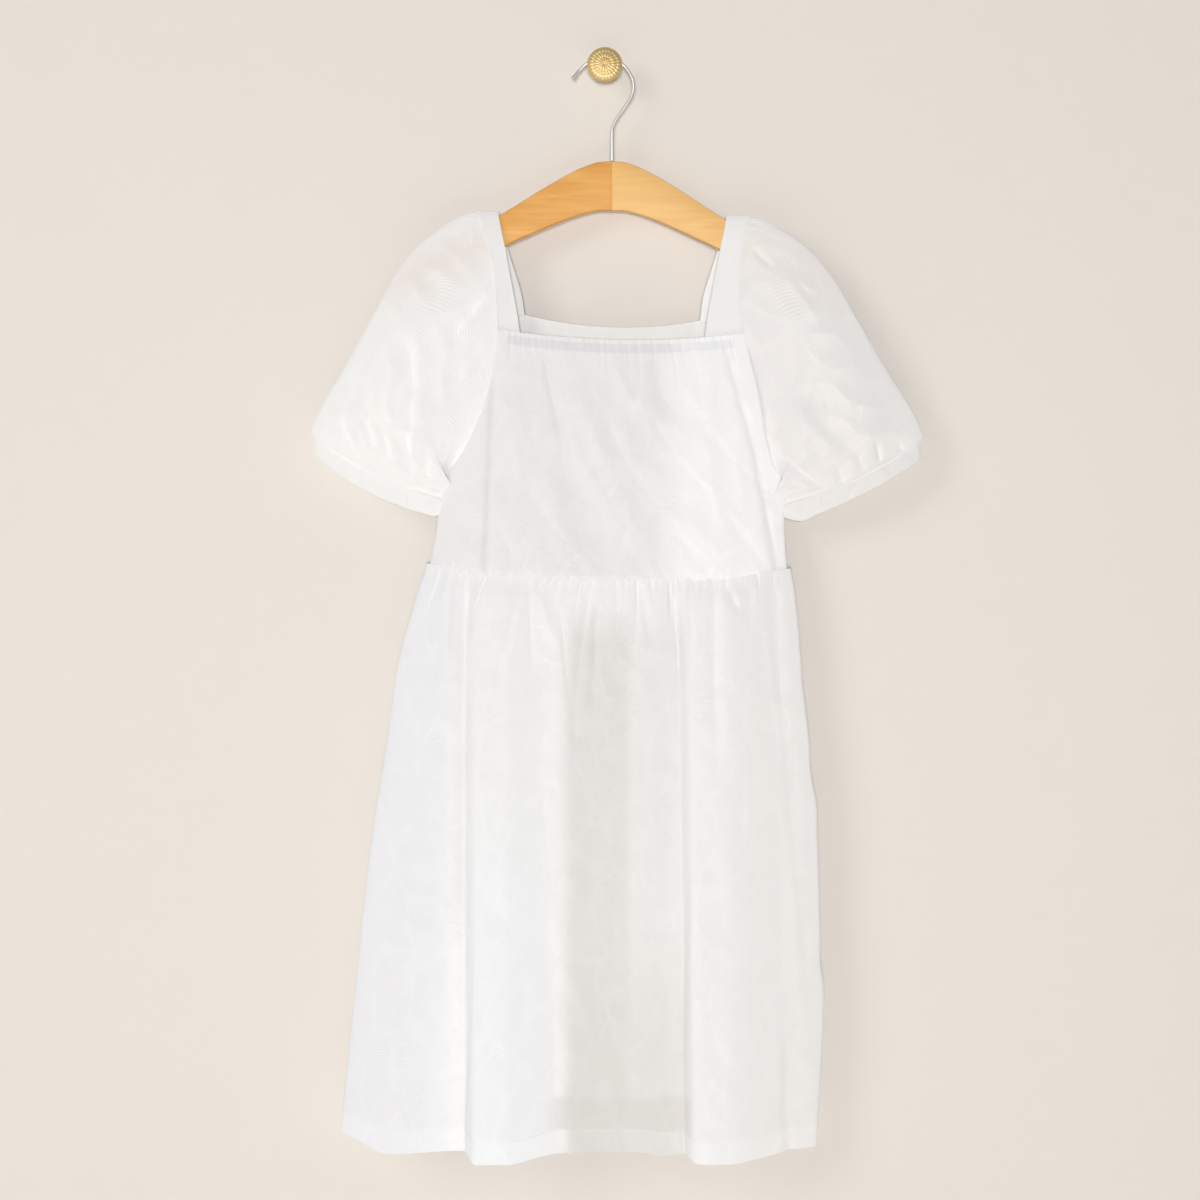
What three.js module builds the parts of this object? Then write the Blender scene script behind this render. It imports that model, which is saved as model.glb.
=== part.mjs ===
// A girl's white peasant dress on a wooden hanger, hung from a round metal knob on a wall.
// Millimetres, +Z up. The wall is the plane Y = 0 and the dress faces -Y.
// The origin is the centre of the knob's flat back. A drop is a distance below the knob's axis.
import * as THREE from "three";

const CLOTH = 1.4; // wall of one layer of cloth
const BAND = 1.8; // wall of a doubled band: strap and cuff
const GAP = 0.3; // between pieces at a seam
const ARMHOLE_GAP = 1.9; // between sleeve and bodice, whose facets differ
const LEAN = 0.018; // the right side hangs lower by this share of the distance across
const LEAN_REACH = 125; // no further out than this

const HANGER_X = 6.75; // hanger's middle, to the right of the knob's axis
const HANGER_Y = -26; // depth of the hook and of the hanger's middle
const ARM_SWEEP = 0.09; // the arms come forward by this share of their length
const ARM_THICK = 10;
const ARM_ROUND = 2.2; // rounding of the arms' edges
const WIRE_R = 1.65;
const WIRE_SIDES = 8;
const ELASTIC = 1; // thickness of the neck elastic
const ELASTIC_TOP = 4.5; // its edges below the neck's edge
const ELASTIC_FOOT = 11.5;

const FRONT_NECK = 241; // drops of the main levels
const BACK_NECK = 218;
const UNDERARM = 377;
const WAIST = 455;
const HEM = 969;
const FRONT_NECK_DIP = 8; // how much lower each edge is in its middle
const BACK_NECK_DIP = 17;
const WAIST_DIP = 11;
const LINING_TOP = 463;
const LINING_FOOT = 923;
const HEM_LIFT = 13; // the hem's left corner hangs this much higher

const NECK_GATHERS = 22;
const FRONT_GATHERS = 40;
const BACK_GATHERS = 24;
const SLEEVE_GATHERS = 16;
const GATHER_RISE = 1.7; // height of a gather at its seam, either way from the cloth's middle

// The knob's turned profile, from the wall outwards.
const KNOB = [
  { out: 0, r: 0 },
  { out: 0, r: 6.4 },
  { out: 2, r: 5.7 },
  { out: 30, r: 5.7 },
  { out: 32, r: 13.6 },
  { out: 34, r: 15.9 },
  { out: 37, r: 15.4 },
  { out: 39.6, r: 12 },
  { out: 41, r: 5 },
  { out: 41.3, r: 0 },
];

// The hook's wire from the hanger up, across from the hanger's middle.
const HOOK = [
  { across: 0, drop: 84.9 },
  { across: 0, drop: 60 },
  { across: 3.4, drop: 47.8 },
  { across: 12, drop: 36.5 },
  { across: 18.4, drop: 24.5 },
  { across: 19.3, drop: 14.5 },
  { across: 15.6, drop: 5 },
  { across: 8.5, drop: -3 },
  { across: -1.5, drop: -7.3 },
  { across: -12, drop: -7.6 },
  { across: -22, drop: -3.6 },
  { across: -29.5, drop: 3.2 },
  { across: -35.5, drop: 10.8 },
];

// One arm of the hanger, from the middle to its end.
const ARM = [
  { across: 0, top: 85.6, foot: 130.6 },
  { across: 14, top: 87.3, foot: 131 },
  { across: 34, top: 96, foot: 136.8 },
  { across: 64, top: 114, foot: 149.6 },
  { across: 102, top: 138.5, foot: 167.4 },
  { across: 140, top: 157.8, foot: 186 },
  { across: 168, top: 173.8, foot: 201 },
  { across: 180, top: 184, foot: 206.5 },
  { across: 186, top: 193, foot: 202 },
];

// Outer edges of the cloth from the shoulder to the waist: armhole, then side seam.
const EDGE = [
  { drop: 134, left: 122.5, right: 124.5, front: -36, back: -36 },
  { drop: 138, left: 121, right: 123.5, front: -42, back: -29.2 },
  { drop: 149, left: 117.5, right: 120.5, front: -44.2, back: -27 },
  { drop: 168, left: 112, right: 117, front: -45.3, back: -26.3 },
  { drop: 203, left: 106, right: 115, front: -46.6, back: -25.8 },
  { drop: 241, left: 104, right: 117, front: -47.4, back: -25.8 },
  { drop: 303, left: 108.5, right: 123, front: -46, back: -27.5 },
  { drop: 338, left: 116, right: 131, front: -44, back: -30.5 },
  { drop: 361, left: 130, right: 141, front: -41.5, back: -34 },
  { drop: 377, left: 152, right: 153, front: -38.2, back: -37.8 },
  { drop: 415, left: 157, right: 154.5, front: -38.7, back: -38.3 },
  { drop: 455, left: 164.5, right: 157, front: -40.2, back: -39.8 },
];

// Depth of the bodice's middle, front and back.
const BODICE = [
  { drop: 218, front: -50, back: -23.5 },
  { drop: 265, front: -53, back: -21 },
  { drop: 323, front: -58, back: -19 },
  { drop: 383, front: -60, back: -17.5 },
  { drop: 455, front: -62, back: -15 },
];

// Long creases of the bodice front: across at the top and foot, and how far they lie in (+) or stand out (-).
const BODICE_FOLDS = [
  { top: -102, foot: -113, from: 290, to: 474, width: 9, depth: 7 },
  { top: 112, foot: 150, from: 280, to: 474, width: 10, depth: 6 },
  { top: -90, foot: -26, from: 265, to: 430, width: 13, depth: -3.4 },
  { top: -58, foot: 30, from: 254, to: 420, width: 12, depth: 2.8 },
  { top: 88, foot: -12, from: 265, to: 430, width: 13, depth: -3.4 },
  { top: 96, foot: 60, from: 303, to: 455, width: 12, depth: 3 },
  { top: 12, foot: 14, from: 333, to: 474, width: 16, depth: -2.6 },
];

// One shoulder strap, from the front of the neck over the shoulder to the back.
const STRAP = [
  { along: 0, drop: 240.2, y: -49.4, inner: 82 },
  { along: 1, drop: 203, y: -47.4, inner: 89.5 },
  { along: 2, drop: 168, y: -45.9, inner: 96 },
  { along: 3, drop: 149, y: -44.7, inner: 100 },
  { along: 4, drop: 138, y: -42.4, inner: 102 },
  { along: 5, drop: 133.6, y: -36, inner: 102.6 },
  { along: 6, drop: 138, y: -28.8, inner: 102 },
  { along: 7, drop: 149, y: -26.6, inner: 100 },
  { along: 8, drop: 168, y: -25.9, inner: 96 },
  { along: 9, drop: 203, y: -25.4, inner: 88 },
  { along: 10, drop: 217, y: -24.8, inner: 85 },
];

// A sleeve's upper and lower edge as seen from the front, and how far it swells to the front and back.
const SLEEVE = [
  { along: 0, topX: 124.4, topDrop: 134, footX: 153.5, footDrop: 377, front: 6, back: 6 },
  { along: 0.08, topX: 139, topDrop: 134.5, footX: 154.5, footDrop: 380, front: 17, back: 13 },
  { along: 0.2, topX: 161, topDrop: 151, footX: 155.5, footDrop: 383.5, front: 25, back: 19 },
  { along: 0.35, topX: 191.5, topDrop: 185, footX: 156.5, footDrop: 387, front: 31, back: 24 },
  { along: 0.5, topX: 219, topDrop: 233, footX: 157.5, footDrop: 389.5, front: 34, back: 27 },
  { along: 0.65, topX: 244, topDrop: 278, footX: 158, footDrop: 391.5, front: 34, back: 27 },
  { along: 0.8, topX: 263, topDrop: 310, footX: 158.4, footDrop: 394, front: 31, back: 25 },
  { along: 0.92, topX: 271, topDrop: 330, footX: 158.7, footDrop: 396.4, front: 26, back: 21 },
  { along: 1, topX: 265, topDrop: 341, footX: 159, footDrop: 398, front: 17, back: 15 },
];
const SLEEVE_Y = -38; // middle of a sleeve's depth
const SLEEVE_REACH = { left: 0.985, right: 1.035 }; // each sleeve's spread beyond the shoulder
const CUFF = [
  { along: 0, topX: 265.3, topDrop: 341.6, footX: 159.3, footDrop: 398.6, front: 17, back: 15 },
  { along: 1, topX: 271, topDrop: 353.5, footX: 165, footDrop: 411, front: 16, back: 14 },
];

// Long folds of a sleeve: angle round it at cap and cuff (0 on top, 90 in front), width in degrees.
const SLEEVE_FOLDS = [
  { cap: 28, cuff: 40, width: 11, depth: 3.2 },
  { cap: 62, cuff: 70, width: 12, depth: -4.5 },
  { cap: 96, cuff: 98, width: 12, depth: 4 },
  { cap: 128, cuff: 120, width: 13, depth: -3.6 },
  { cap: 240, cuff: 236, width: 16, depth: -3.5 },
  { cap: 295, cuff: 300, width: 16, depth: 3 },
];

// Outer edges of the skirt, with the depth of its side seams and of its middle.
const SKIRT = [
  { drop: 455, left: 168, right: 162, seam: -40, front: -62.5, back: -15 },
  { drop: 495, left: 180, right: 166, seam: -41, front: -66, back: -14 },
  { drop: 550, left: 196, right: 170, seam: -42, front: -69, back: -14 },
  { drop: 605, left: 204, right: 177, seam: -43, front: -71, back: -14 },
  { drop: 710, left: 219, right: 184, seam: -44, front: -74, back: -14 },
  { drop: 840, left: 230, right: 188, seam: -45, front: -76, back: -14 },
  { drop: 969, left: 243, right: 184, seam: -46, front: -78, back: -14 },
];

// Big folds of the skirt: where each starts at the waist and hem, and its rise, crest and fall across.
const FRONT_FOLDS = [
  { top: -152, foot: -226, rise: 36, crest: 8, fall: 40, height: 7 },
  { top: -122, foot: -128, rise: 11, crest: 50, fall: 56, height: 26 },
  { top: -52, foot: -38, rise: 22, crest: 24, fall: 32, height: -10 },
  { top: 10, foot: 20, rise: 26, crest: 10, fall: 20, height: 7 },
  { top: 60, foot: 68, rise: 11, crest: 38, fall: 52, height: 26 },
  { top: 136, foot: 150, rise: 12, crest: 6, fall: 14, height: -7 },
];
const BACK_FOLDS = [
  { top: -140, foot: -196, rise: 26, crest: 8, fall: 26, height: 7 },
  { top: -96, foot: -124, rise: 26, crest: 6, fall: 26, height: -9 },
  { top: -44, foot: -62, rise: 26, crest: 8, fall: 26, height: 8 },
  { top: 0, foot: -6, rise: 26, crest: 6, fall: 26, height: -9 },
  { top: 48, foot: 46, rise: 26, crest: 8, fall: 26, height: 8 },
  { top: 92, foot: 96, rise: 24, crest: 6, fall: 24, height: -8 },
];
const FOLD_START = 0.18; // share of a fold's height that it has at the waist
const FOLD_DROP = 0.2; // the hem sinks by this share of a fold's height

const LINING = [
  { drop: 463, left: 158, right: 150, front: -53.5, back: -24 },
  { drop: 563, left: 178, right: 156, front: -56, back: -26 },
  { drop: 743, left: 204, right: 170, front: -58, back: -27 },
  { drop: 923, left: 222, right: 172, front: -59, back: -28 },
];

const WHITE = "#f4f3f1";
const materials = {
  knob: { color: "#d9b678", roughness: 0.35, metalness: 1 },
  wire: { color: "#c9c7c2", roughness: 0.18, metalness: 1 },
  woodLeft: { color: "#dd9c52", roughness: 0.45, metalness: 0 },
  woodRight: { color: "#e8b273", roughness: 0.45, metalness: 0 },
  cloth: { color: WHITE, roughness: 0.85, metalness: 0 },
  lining: { color: "#eeebe6", roughness: 0.8, metalness: 0 },
  elastic: { color: "#dcdfec", roughness: 0.8, metalness: 0 },
};

const mix = (a, b, t) => a + (b - a) * t;
const ramp = (a, b, k) => THREE.MathUtils.smoothstep(k, a, b);
const bell = (k) => Math.exp(-k * k);

// Reads one column of a table as a smooth line that never passes beyond its rows.
function column(table, key, name) {
  const at = table.map((row) => row[key]);
  const value = table.map((row) => row[name]);
  const last = at.length - 1;
  const rate = at.slice(1).map((k, i) => (value[i + 1] - value[i]) / (k - at[i]));
  const slope = at.map((k, i) => {
    if (i === 0 || i === last) {
      return rate[i === 0 ? 0 : last - 1];
    }
    const same = rate[i - 1] * rate[i] > 0;
    return same ? (2 * rate[i - 1] * rate[i]) / (rate[i - 1] + rate[i]) : 0;
  });
  return (k) => {
    const i = Math.min(Math.max(at.findIndex((edge) => edge > k) - 1, 0), last - 1);
    const cell = k >= at[last] ? last - 1 : i;
    const span = at[cell + 1] - at[cell];
    const t = THREE.MathUtils.clamp((k - at[cell]) / span, 0, 1);
    const lift = t * t * (3 - 2 * t);
    const bend = (1 - t) * (1 - t) * t * slope[cell] - t * t * (1 - t) * slope[cell + 1];
    return mix(value[cell], value[cell + 1], lift) + bend * span;
  };
}

// All columns of a table, each as a line over the key.
function columns(table, key) {
  const names = Object.keys(table[0]).filter((name) => name !== key);
  return Object.fromEntries(names.map((name) => [name, column(table, key, name)]));
}

const edge = columns(EDGE, "drop");
const bodice = columns(BODICE, "drop");
const strap = columns(STRAP, "along");
const sleeve = columns(SLEEVE, "along");
const cuff = columns(CUFF, "along");
const skirt = columns(SKIRT, "drop");
const lining = columns(LINING, "drop");
const arm = columns(ARM, "across");

// A point of the hung dress, with the whole leaning a little to the right down to the waist.
function hang(x, y, drop) {
  const lean = LEAN * (1 - ramp(WAIST, HEM, drop));
  return new THREE.Vector3(x, y, -drop - lean * THREE.MathUtils.clamp(x, -LEAN_REACH, LEAN_REACH));
}

// Half of a rounded flat loop from the left edge to the right edge, as fine points across.
const LOOP_STEPS = 360;
function halfLoop(left, right, edgeY, middleY, square, shift) {
  const points = [];
  for (let i = 0; i <= LOOP_STEPS; i++) {
    const angle = Math.PI * (1 - i / LOOP_STEPS);
    const c = Math.cos(angle);
    const s = Math.sin(angle);
    const across = Math.sign(c) * Math.pow(Math.abs(c), 2 / square);
    const out = Math.pow(Math.max(s, 0), 2 / square);
    const x = mix(left, right, (across + 1) / 2);
    points.push(new THREE.Vector2(x, mix(edgeY, middleY, out) + shift(x) * ramp(0, 0.5, s)));
  }
  return points;
}

// The point a share u along such a line, moved sideways by a gather's height.
function alongLoop(points, u, rise, facing) {
  const length = [0];
  for (let i = 1; i < points.length; i++) {
    length.push(length[i - 1] + points[i].distanceTo(points[i - 1]));
  }
  const want = THREE.MathUtils.clamp(u, 0, 1) * length[length.length - 1];
  const next = Math.min(Math.max(length.findIndex((sum) => sum >= want), 1), points.length - 1);
  const t = (want - length[next - 1]) / (length[next] - length[next - 1]);
  const step = points[next].clone().sub(points[next - 1]).normalize();
  const point = points[next - 1].clone().lerp(points[next], t);
  return point.add(new THREE.Vector2(step.y, -step.x).multiplyScalar(rise * facing));
}

// The height of the big folds at one place across, and how far down the skirt they have grown.
function foldHeight(folds, x, v) {
  const grown = mix(FOLD_START, 1, Math.pow(v, 0.8));
  let sum = 0;
  for (const fold of folds) {
    const start = mix(fold.top, fold.foot, v);
    const crest = start + fold.rise;
    const end = crest + fold.crest;
    sum += fold.height * grown * ramp(start, crest, x) * (1 - ramp(end, end + fold.fall, x));
  }
  return sum;
}

// A gather stands out and in by turns, one wave to every two columns.
const gather = (count, u) => Math.cos(2 * Math.PI * count * u);

function skirtPoint(folds, count, facing, u, v) {
  const middle = facing > 0 ? skirt.front : skirt.back;
  const drop = mix(WAIST, HEM, v);
  const seam = skirt.seam(drop) - (facing * GAP) / 2;
  const shift = (x) => -facing * foldHeight(folds, x, v);
  const loop = halfLoop(-skirt.left(drop), skirt.right(drop), seam, middle(drop), 2.8, shift);
  const fade = 1 - ramp(0.01, 0.16, v);
  const place = alongLoop(loop, u, GATHER_RISE * gather(count, u) * fade * ramp(0, 0.05, u * (1 - u)), facing);
  const dip = facing > 0 ? WAIST_DIP * (1 - v) * (1 - Math.pow(2 * u - 1, 2)) : 0;
  const sink = FOLD_DROP * Math.max(foldHeight(folds, place.x, v), 0) * v;
  const lift = HEM_LIFT * v * (1 - ramp(0, 45, place.x + skirt.left(drop)));
  return hang(place.x, place.y, drop + GAP * (1 - v) + dip + sink - lift);
}

// How far the bodice front's long creases move it at one place.
function creaseDepth(x, drop) {
  let sum = 0;
  for (const fold of BODICE_FOLDS) {
    const down = (drop - fold.from) / (fold.to - fold.from);
    const ends = ramp(-0.1, 0.25, down) * (1 - ramp(0.8, 1.1, down));
    sum += fold.depth * ends * bell((x - mix(fold.top, fold.foot, down)) / fold.width);
  }
  return sum;
}

function bodiceFrontPoint(u, v) {
  const drop = mix(FRONT_NECK, WAIST, v);
  const loop = halfLoop(-edge.left(drop), edge.right(drop), edge.front(drop), bodice.front(drop), 3,
    (x) => creaseDepth(x, drop));
  const fade = (1 - ramp(0.02, 0.3, v)) * ramp(0, 0.06, u * (1 - u));
  const place = alongLoop(loop, u, GATHER_RISE * gather(NECK_GATHERS, u) * fade, 1);
  const dip = mix(FRONT_NECK_DIP, WAIST_DIP, v) * (1 - Math.pow(2 * u - 1, 2));
  return hang(place.x, place.y, drop + dip);
}

// The elastic lies inside the front's top hem, on that panel's own points moved in.
function elasticPoint(u, v) {
  const across = mix(1 / NECK_GATHERS, 1 - 1 / NECK_GATHERS, u);
  const down = mix(ELASTIC_TOP, ELASTIC_FOOT, v) / (WAIST - FRONT_NECK);
  const point = bodiceFrontPoint(across, down);
  point.y += CLOTH + 3 * GAP;
  return point;
}

function bodiceBackPoint(u, v) {
  const drop = mix(BACK_NECK, WAIST, v);
  const loop = halfLoop(-edge.left(drop), edge.right(drop), edge.back(drop), bodice.back(drop), 3, () => 0);
  const place = alongLoop(loop, u, 0, -1);
  const dip = BACK_NECK_DIP * (1 - v) * (1 - Math.pow(2 * u - 1, 2));
  return hang(place.x, place.y, drop + dip);
}

// A sleeve or cuff section: a flat loop between an upper and a lower edge, swelling to front and back.
function tubePoint(table, side, angle, along) {
  const c = Math.cos(angle);
  const s = Math.sin(angle);
  const shoulder = SLEEVE[0].topX;
  const reach = side > 0 ? SLEEVE_REACH.right : SLEEVE_REACH.left;
  const top = shoulder + (table.topX(along) - shoulder) * reach;
  const out = mix(top, table.footX(along), (1 - c) / 2);
  const drop = mix(table.topDrop(along), table.footDrop(along), (1 - c) / 2);
  const swell = s > 0 ? table.front(along) : table.back(along);
  const depth = Math.sign(s) * swell * Math.pow(Math.abs(s), 0.86);
  return hang(side * out, SLEEVE_Y - depth, drop);
}

// The armhole seam that a sleeve starts from.
const sideEdge = (side) => (side > 0 ? edge.right : edge.left);
function armholePoint(side, angle) {
  const drop = mix(EDGE[0].drop, UNDERARM, (1 - Math.cos(angle)) / 2);
  const y = Math.sin(angle) > 0 ? edge.front(drop) : edge.back(drop);
  return hang(side * (sideEdge(side)(drop) + ARMHOLE_GAP), y, drop);
}

function sleevePoint(side, u, along) {
  const angle = 2 * Math.PI * u;
  const point = armholePoint(side, angle).lerp(tubePoint(sleeve, side, angle, along), ramp(0, 0.3, along));
  const degrees = 360 * u;
  let rise = 0;
  for (const fold of SLEEVE_FOLDS) {
    const ends = ramp(0.05, 0.3, along) * (1 - ramp(0.75, 1, along));
    rise -= fold.depth * ends * bell((degrees - mix(fold.cap, fold.cuff, along)) / fold.width);
  }
  const cap = ramp(0, 0.08, along) * (1 - ramp(0.1, 0.32, along)) * ramp(0.35, 0.75, Math.cos(angle));
  const foot = ramp(0.7, 0.95, along) * (1 - ramp(0.95, 1, along));
  rise += GATHER_RISE * gather(SLEEVE_GATHERS, u) * (1.3 * cap + foot);
  const middle = tubePoint(sleeve, side, 0, along).lerp(tubePoint(sleeve, side, Math.PI, along), 0.5);
  const away = point.clone().sub(middle).setX(0).normalize();
  return point.add(away.multiplyScalar(rise));
}

function cuffPoint(side, u, along) {
  return tubePoint(cuff, side, 2 * Math.PI * u, along);
}

// A strap ends along the neck's own curve at the front and at the back.
function strapPoint(side, u, v) {
  const along = v * (STRAP.length - 1);
  const drop = strap.drop(along);
  const out = mix(strap.inner(along), sideEdge(side)(drop) - 2 * GAP, u);
  const bow = 1 - Math.pow(out / sideEdge(side)(drop), 2);
  const dip = FRONT_NECK_DIP * (1 - ramp(0, 1, along)) + BACK_NECK_DIP * ramp(9, 10, along);
  return hang(side * out, strap.y(along), drop + dip * bow);
}

function liningPoint(u, v) {
  const drop = mix(LINING_TOP, LINING_FOOT, v);
  const front = u < 0.5;
  const middle = front ? lining.front(drop) : lining.back(drop);
  const seam = skirt.seam(drop);
  const loop = halfLoop(-lining.left(drop), lining.right(drop), seam, middle, 2.6, () => 0);
  const place = alongLoop(loop, front ? 2 * u : 2 - 2 * u, 0, 1);
  return hang(place.x, place.y, drop + (front ? WAIST_DIP * (1 - v) : 0));
}

// A wall of cloth: a grid on the outer surface, the same grid moved in by the thickness, closed at its rims.
// Facing is 1 where down crossed with across points out of the dress, and -1 where it points in.
function clothWall(surface, across, rows, { thick = CLOTH, round = false, facing = 1 } = {}) {
  const count = round ? across : across + 1;
  const step = 1e-4;
  const outer = [];
  const inner = [];
  for (const v of rows) {
    for (let i = 0; i < count; i++) {
      const u = i / across;
      const lowU = round ? u - step : Math.max(u - step, 0);
      const highU = round ? u + step : Math.min(u + step, 1);
      const alongU = surface(highU, v).sub(surface(lowU, v));
      const alongV = surface(u, Math.min(v + step, 1)).sub(surface(u, Math.max(v - step, 0)));
      const normal = alongV.cross(alongU).normalize();
      const point = surface(u, v);
      outer.push(point);
      inner.push(point.clone().addScaledVector(normal, -thick * facing));
    }
  }
  const faces = [];
  const half = outer.length;
  const quad = (a, b, c, d) => {
    const turn = facing > 0 ? [a, b, c, a, c, d] : [a, c, b, a, d, c];
    faces.push(...turn);
  };
  const foot = (rows.length - 1) * count;
  for (let r = 0; r < rows.length - 1; r++) {
    for (let i = 0; i < across; i++) {
      const a = r * count + i;
      const b = r * count + ((i + 1) % count);
      quad(a, a + count, b + count, b);
      quad(half + a, half + b, half + b + count, half + a + count);
    }
    if (!round) {
      const left = r * count;
      const right = left + count - 1;
      quad(left + count, left, half + left, half + left + count);
      quad(right, right + count, half + right + count, half + right);
    }
  }
  for (let i = 0; i < across; i++) {
    const next = (i + 1) % count;
    quad(i, next, half + next, half + i);
    quad(foot + next, foot + i, half + foot + i, half + foot + next);
  }
  const geometry = new THREE.BufferGeometry().setFromPoints([...outer, ...inner]);
  geometry.setIndex(faces);
  return geometry;
}

const evenRows = (count) => Array.from({ length: count + 1 }, (_, i) => i / count);
const rowsAt = (from, to, drops) => drops.map((drop) => (drop - from) / (to - from));

const group = new THREE.Group();
const hung = new THREE.Group();
hung.position.x = HANGER_X;
group.add(hung);

function add(parent, name, geometry, material) {
  const mesh = new THREE.Mesh(geometry, new THREE.MeshStandardMaterial(material));
  mesh.name = name;
  mesh.material.name = name;
  parent.add(mesh);
  return mesh;
}

const knobProfile = KNOB.map((row) => new THREE.Vector2(row.r, -row.out)).reverse();
add(group, "wall_knob", new THREE.LatheGeometry(knobProfile, 28), materials.knob);

const hookPath = new THREE.CatmullRomCurve3(
  HOOK.map((row) => new THREE.Vector3(row.across, HANGER_Y, -row.drop)));
const wireSection = new THREE.Shape();
wireSection.absarc(0, 0, WIRE_R, 0, 2 * Math.PI, false);
add(hung, "hanger_hook", new THREE.ExtrudeGeometry(wireSection,
  { steps: 36, curveSegments: WIRE_SIDES / 2, extrudePath: hookPath, bevelEnabled: false }), materials.wire);

// Turns every face of a mirrored shape the right way out again.
function turned(geometry) {
  const place = geometry.attributes.position;
  const corner = [new THREE.Vector3(), new THREE.Vector3()];
  for (let i = 0; i < place.count; i += 3) {
    corner[0].fromBufferAttribute(place, i + 1);
    corner[1].fromBufferAttribute(place, i + 2);
    place.setXYZ(i + 1, ...corner[1]);
    place.setXYZ(i + 2, ...corner[0]);
  }
  return geometry;
}

// One arm: its outline drawn flat, thickened and swept forward.
function armGeometry(side) {
  const inset = ARM_ROUND;
  const start = GAP / 2 + inset;
  const stations = [start, ...ARM.slice(1).map((row) => row.across)];
  const outline = new THREE.Shape();
  const top = stations.map((x) => new THREE.Vector2(x, -arm.top(x) - inset));
  const foot = stations.map((x) => new THREE.Vector2(x, -arm.foot(x) + inset)).reverse();
  outline.moveTo(start, -arm.top(start) - inset);
  outline.splineThru(top.slice(1));
  outline.lineTo(foot[0].x, foot[0].y);
  outline.splineThru(foot.slice(1));
  outline.closePath();
  const geometry = new THREE.ExtrudeGeometry(outline, {
    depth: ARM_THICK - 2 * inset, curveSegments: 2, bevelEnabled: true,
    bevelSize: inset, bevelThickness: inset, bevelSegments: 2,
  });
  const place = geometry.attributes.position;
  for (let i = 0; i < place.count; i++) {
    const x = place.getX(i);
    const y = HANGER_Y + place.getZ(i) - ARM_THICK / 2 + inset - ARM_SWEEP * x;
    place.setXYZ(i, side * x, y, place.getY(i) - LEAN * side * x);
  }
  return side > 0 ? turned(geometry) : geometry;
}
add(hung, "hanger_arm_right", armGeometry(1), materials.woodRight);
add(hung, "hanger_arm_left", armGeometry(-1), materials.woodLeft);

const frontDrops = [241, 247, 259, 279, 303, 327, 348, 363, 377, 401, 429, 455 - GAP];
const backDrops = [218, 250, 290, 320, 340, 354, 366, 377, 415, 455 - GAP];
add(hung, "bodice_front", clothWall(bodiceFrontPoint, 2 * NECK_GATHERS, rowsAt(FRONT_NECK, WAIST, frontDrops)),
  materials.cloth);
add(hung, "bodice_back", clothWall(bodiceBackPoint, 20, rowsAt(BACK_NECK, WAIST, backDrops), { facing: -1 }),
  materials.cloth);
add(hung, "neck_elastic", clothWall(elasticPoint, 2 * NECK_GATHERS - 4, [0, 1], { thick: ELASTIC }),
  materials.elastic);

const strapRows = evenRows(20);
const sleeveRows = [0, 0.05, 0.11, 0.19, 0.3, 0.43, 0.56, 0.69, 0.81, 0.9, 0.96, 1];
for (const [name, side] of [["left", -1], ["right", 1]]) {
  const facing = -side;
  add(hung, `strap_${name}`, clothWall((u, v) => strapPoint(side, u, v), 2, strapRows,
    { thick: BAND, facing }), materials.cloth);
  add(hung, `sleeve_${name}`, clothWall((u, v) => sleevePoint(side, u, v), 2 * SLEEVE_GATHERS, sleeveRows,
    { round: true, facing }), materials.cloth);
  add(hung, `cuff_${name}`, clothWall((u, v) => cuffPoint(side, u, v), 2 * SLEEVE_GATHERS, [0, 1],
    { thick: BAND, round: true, facing }), materials.cloth);
}

const skirtRows = [0, 0.04, 0.1, 0.2, 0.34, 0.5, 0.68, 0.85, 1];
add(hung, "skirt_front", clothWall((u, v) => skirtPoint(FRONT_FOLDS, FRONT_GATHERS, 1, u, v),
  2 * FRONT_GATHERS, skirtRows), materials.cloth);
add(hung, "skirt_back", clothWall((u, v) => skirtPoint(BACK_FOLDS, BACK_GATHERS, -1, u, v),
  2 * BACK_GATHERS, skirtRows, { facing: -1 }), materials.cloth);
add(hung, "skirt_lining", clothWall(liningPoint, 28, evenRows(3), { round: true }), materials.lining);

export default group;
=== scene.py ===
import math
from functools import partial

import bmesh
import bpy
import numpy as np
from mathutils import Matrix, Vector


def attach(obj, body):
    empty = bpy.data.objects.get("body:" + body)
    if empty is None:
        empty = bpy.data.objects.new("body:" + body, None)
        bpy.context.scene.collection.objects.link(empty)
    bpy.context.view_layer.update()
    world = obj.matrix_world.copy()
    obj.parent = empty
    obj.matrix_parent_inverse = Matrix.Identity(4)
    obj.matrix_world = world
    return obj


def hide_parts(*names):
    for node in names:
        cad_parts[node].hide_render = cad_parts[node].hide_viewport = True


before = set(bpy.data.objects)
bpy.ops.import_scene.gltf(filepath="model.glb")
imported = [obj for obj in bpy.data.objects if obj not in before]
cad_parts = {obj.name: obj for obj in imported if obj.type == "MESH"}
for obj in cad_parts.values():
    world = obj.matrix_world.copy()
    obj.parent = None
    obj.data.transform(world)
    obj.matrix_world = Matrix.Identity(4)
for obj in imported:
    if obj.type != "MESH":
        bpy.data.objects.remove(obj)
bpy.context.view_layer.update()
scene = bpy.context.scene
print("frame loaded")

# Sizes are in millimetres until a piece is placed. A drop is measured down from the knob.
millimetre = 0.001
shoulder, underarm, waist, hem = 134.0, 377.0, 455.0, 969.0
shoulderX = 124.4
waistDip, frontDip, backDip = 11.0, 8.0, 17.0  # how far an edge sags in the middle
hangerX, hangerY = 6.75, -26.0
lean, leanReach = 0.018, 125.0


# Reading tables and shaping curves

def ramp(a, b, k):
    t = np.clip((np.asarray(k, float) - a) / (b - a), 0, 1)
    return t * t * (3 - 2 * t)


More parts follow.
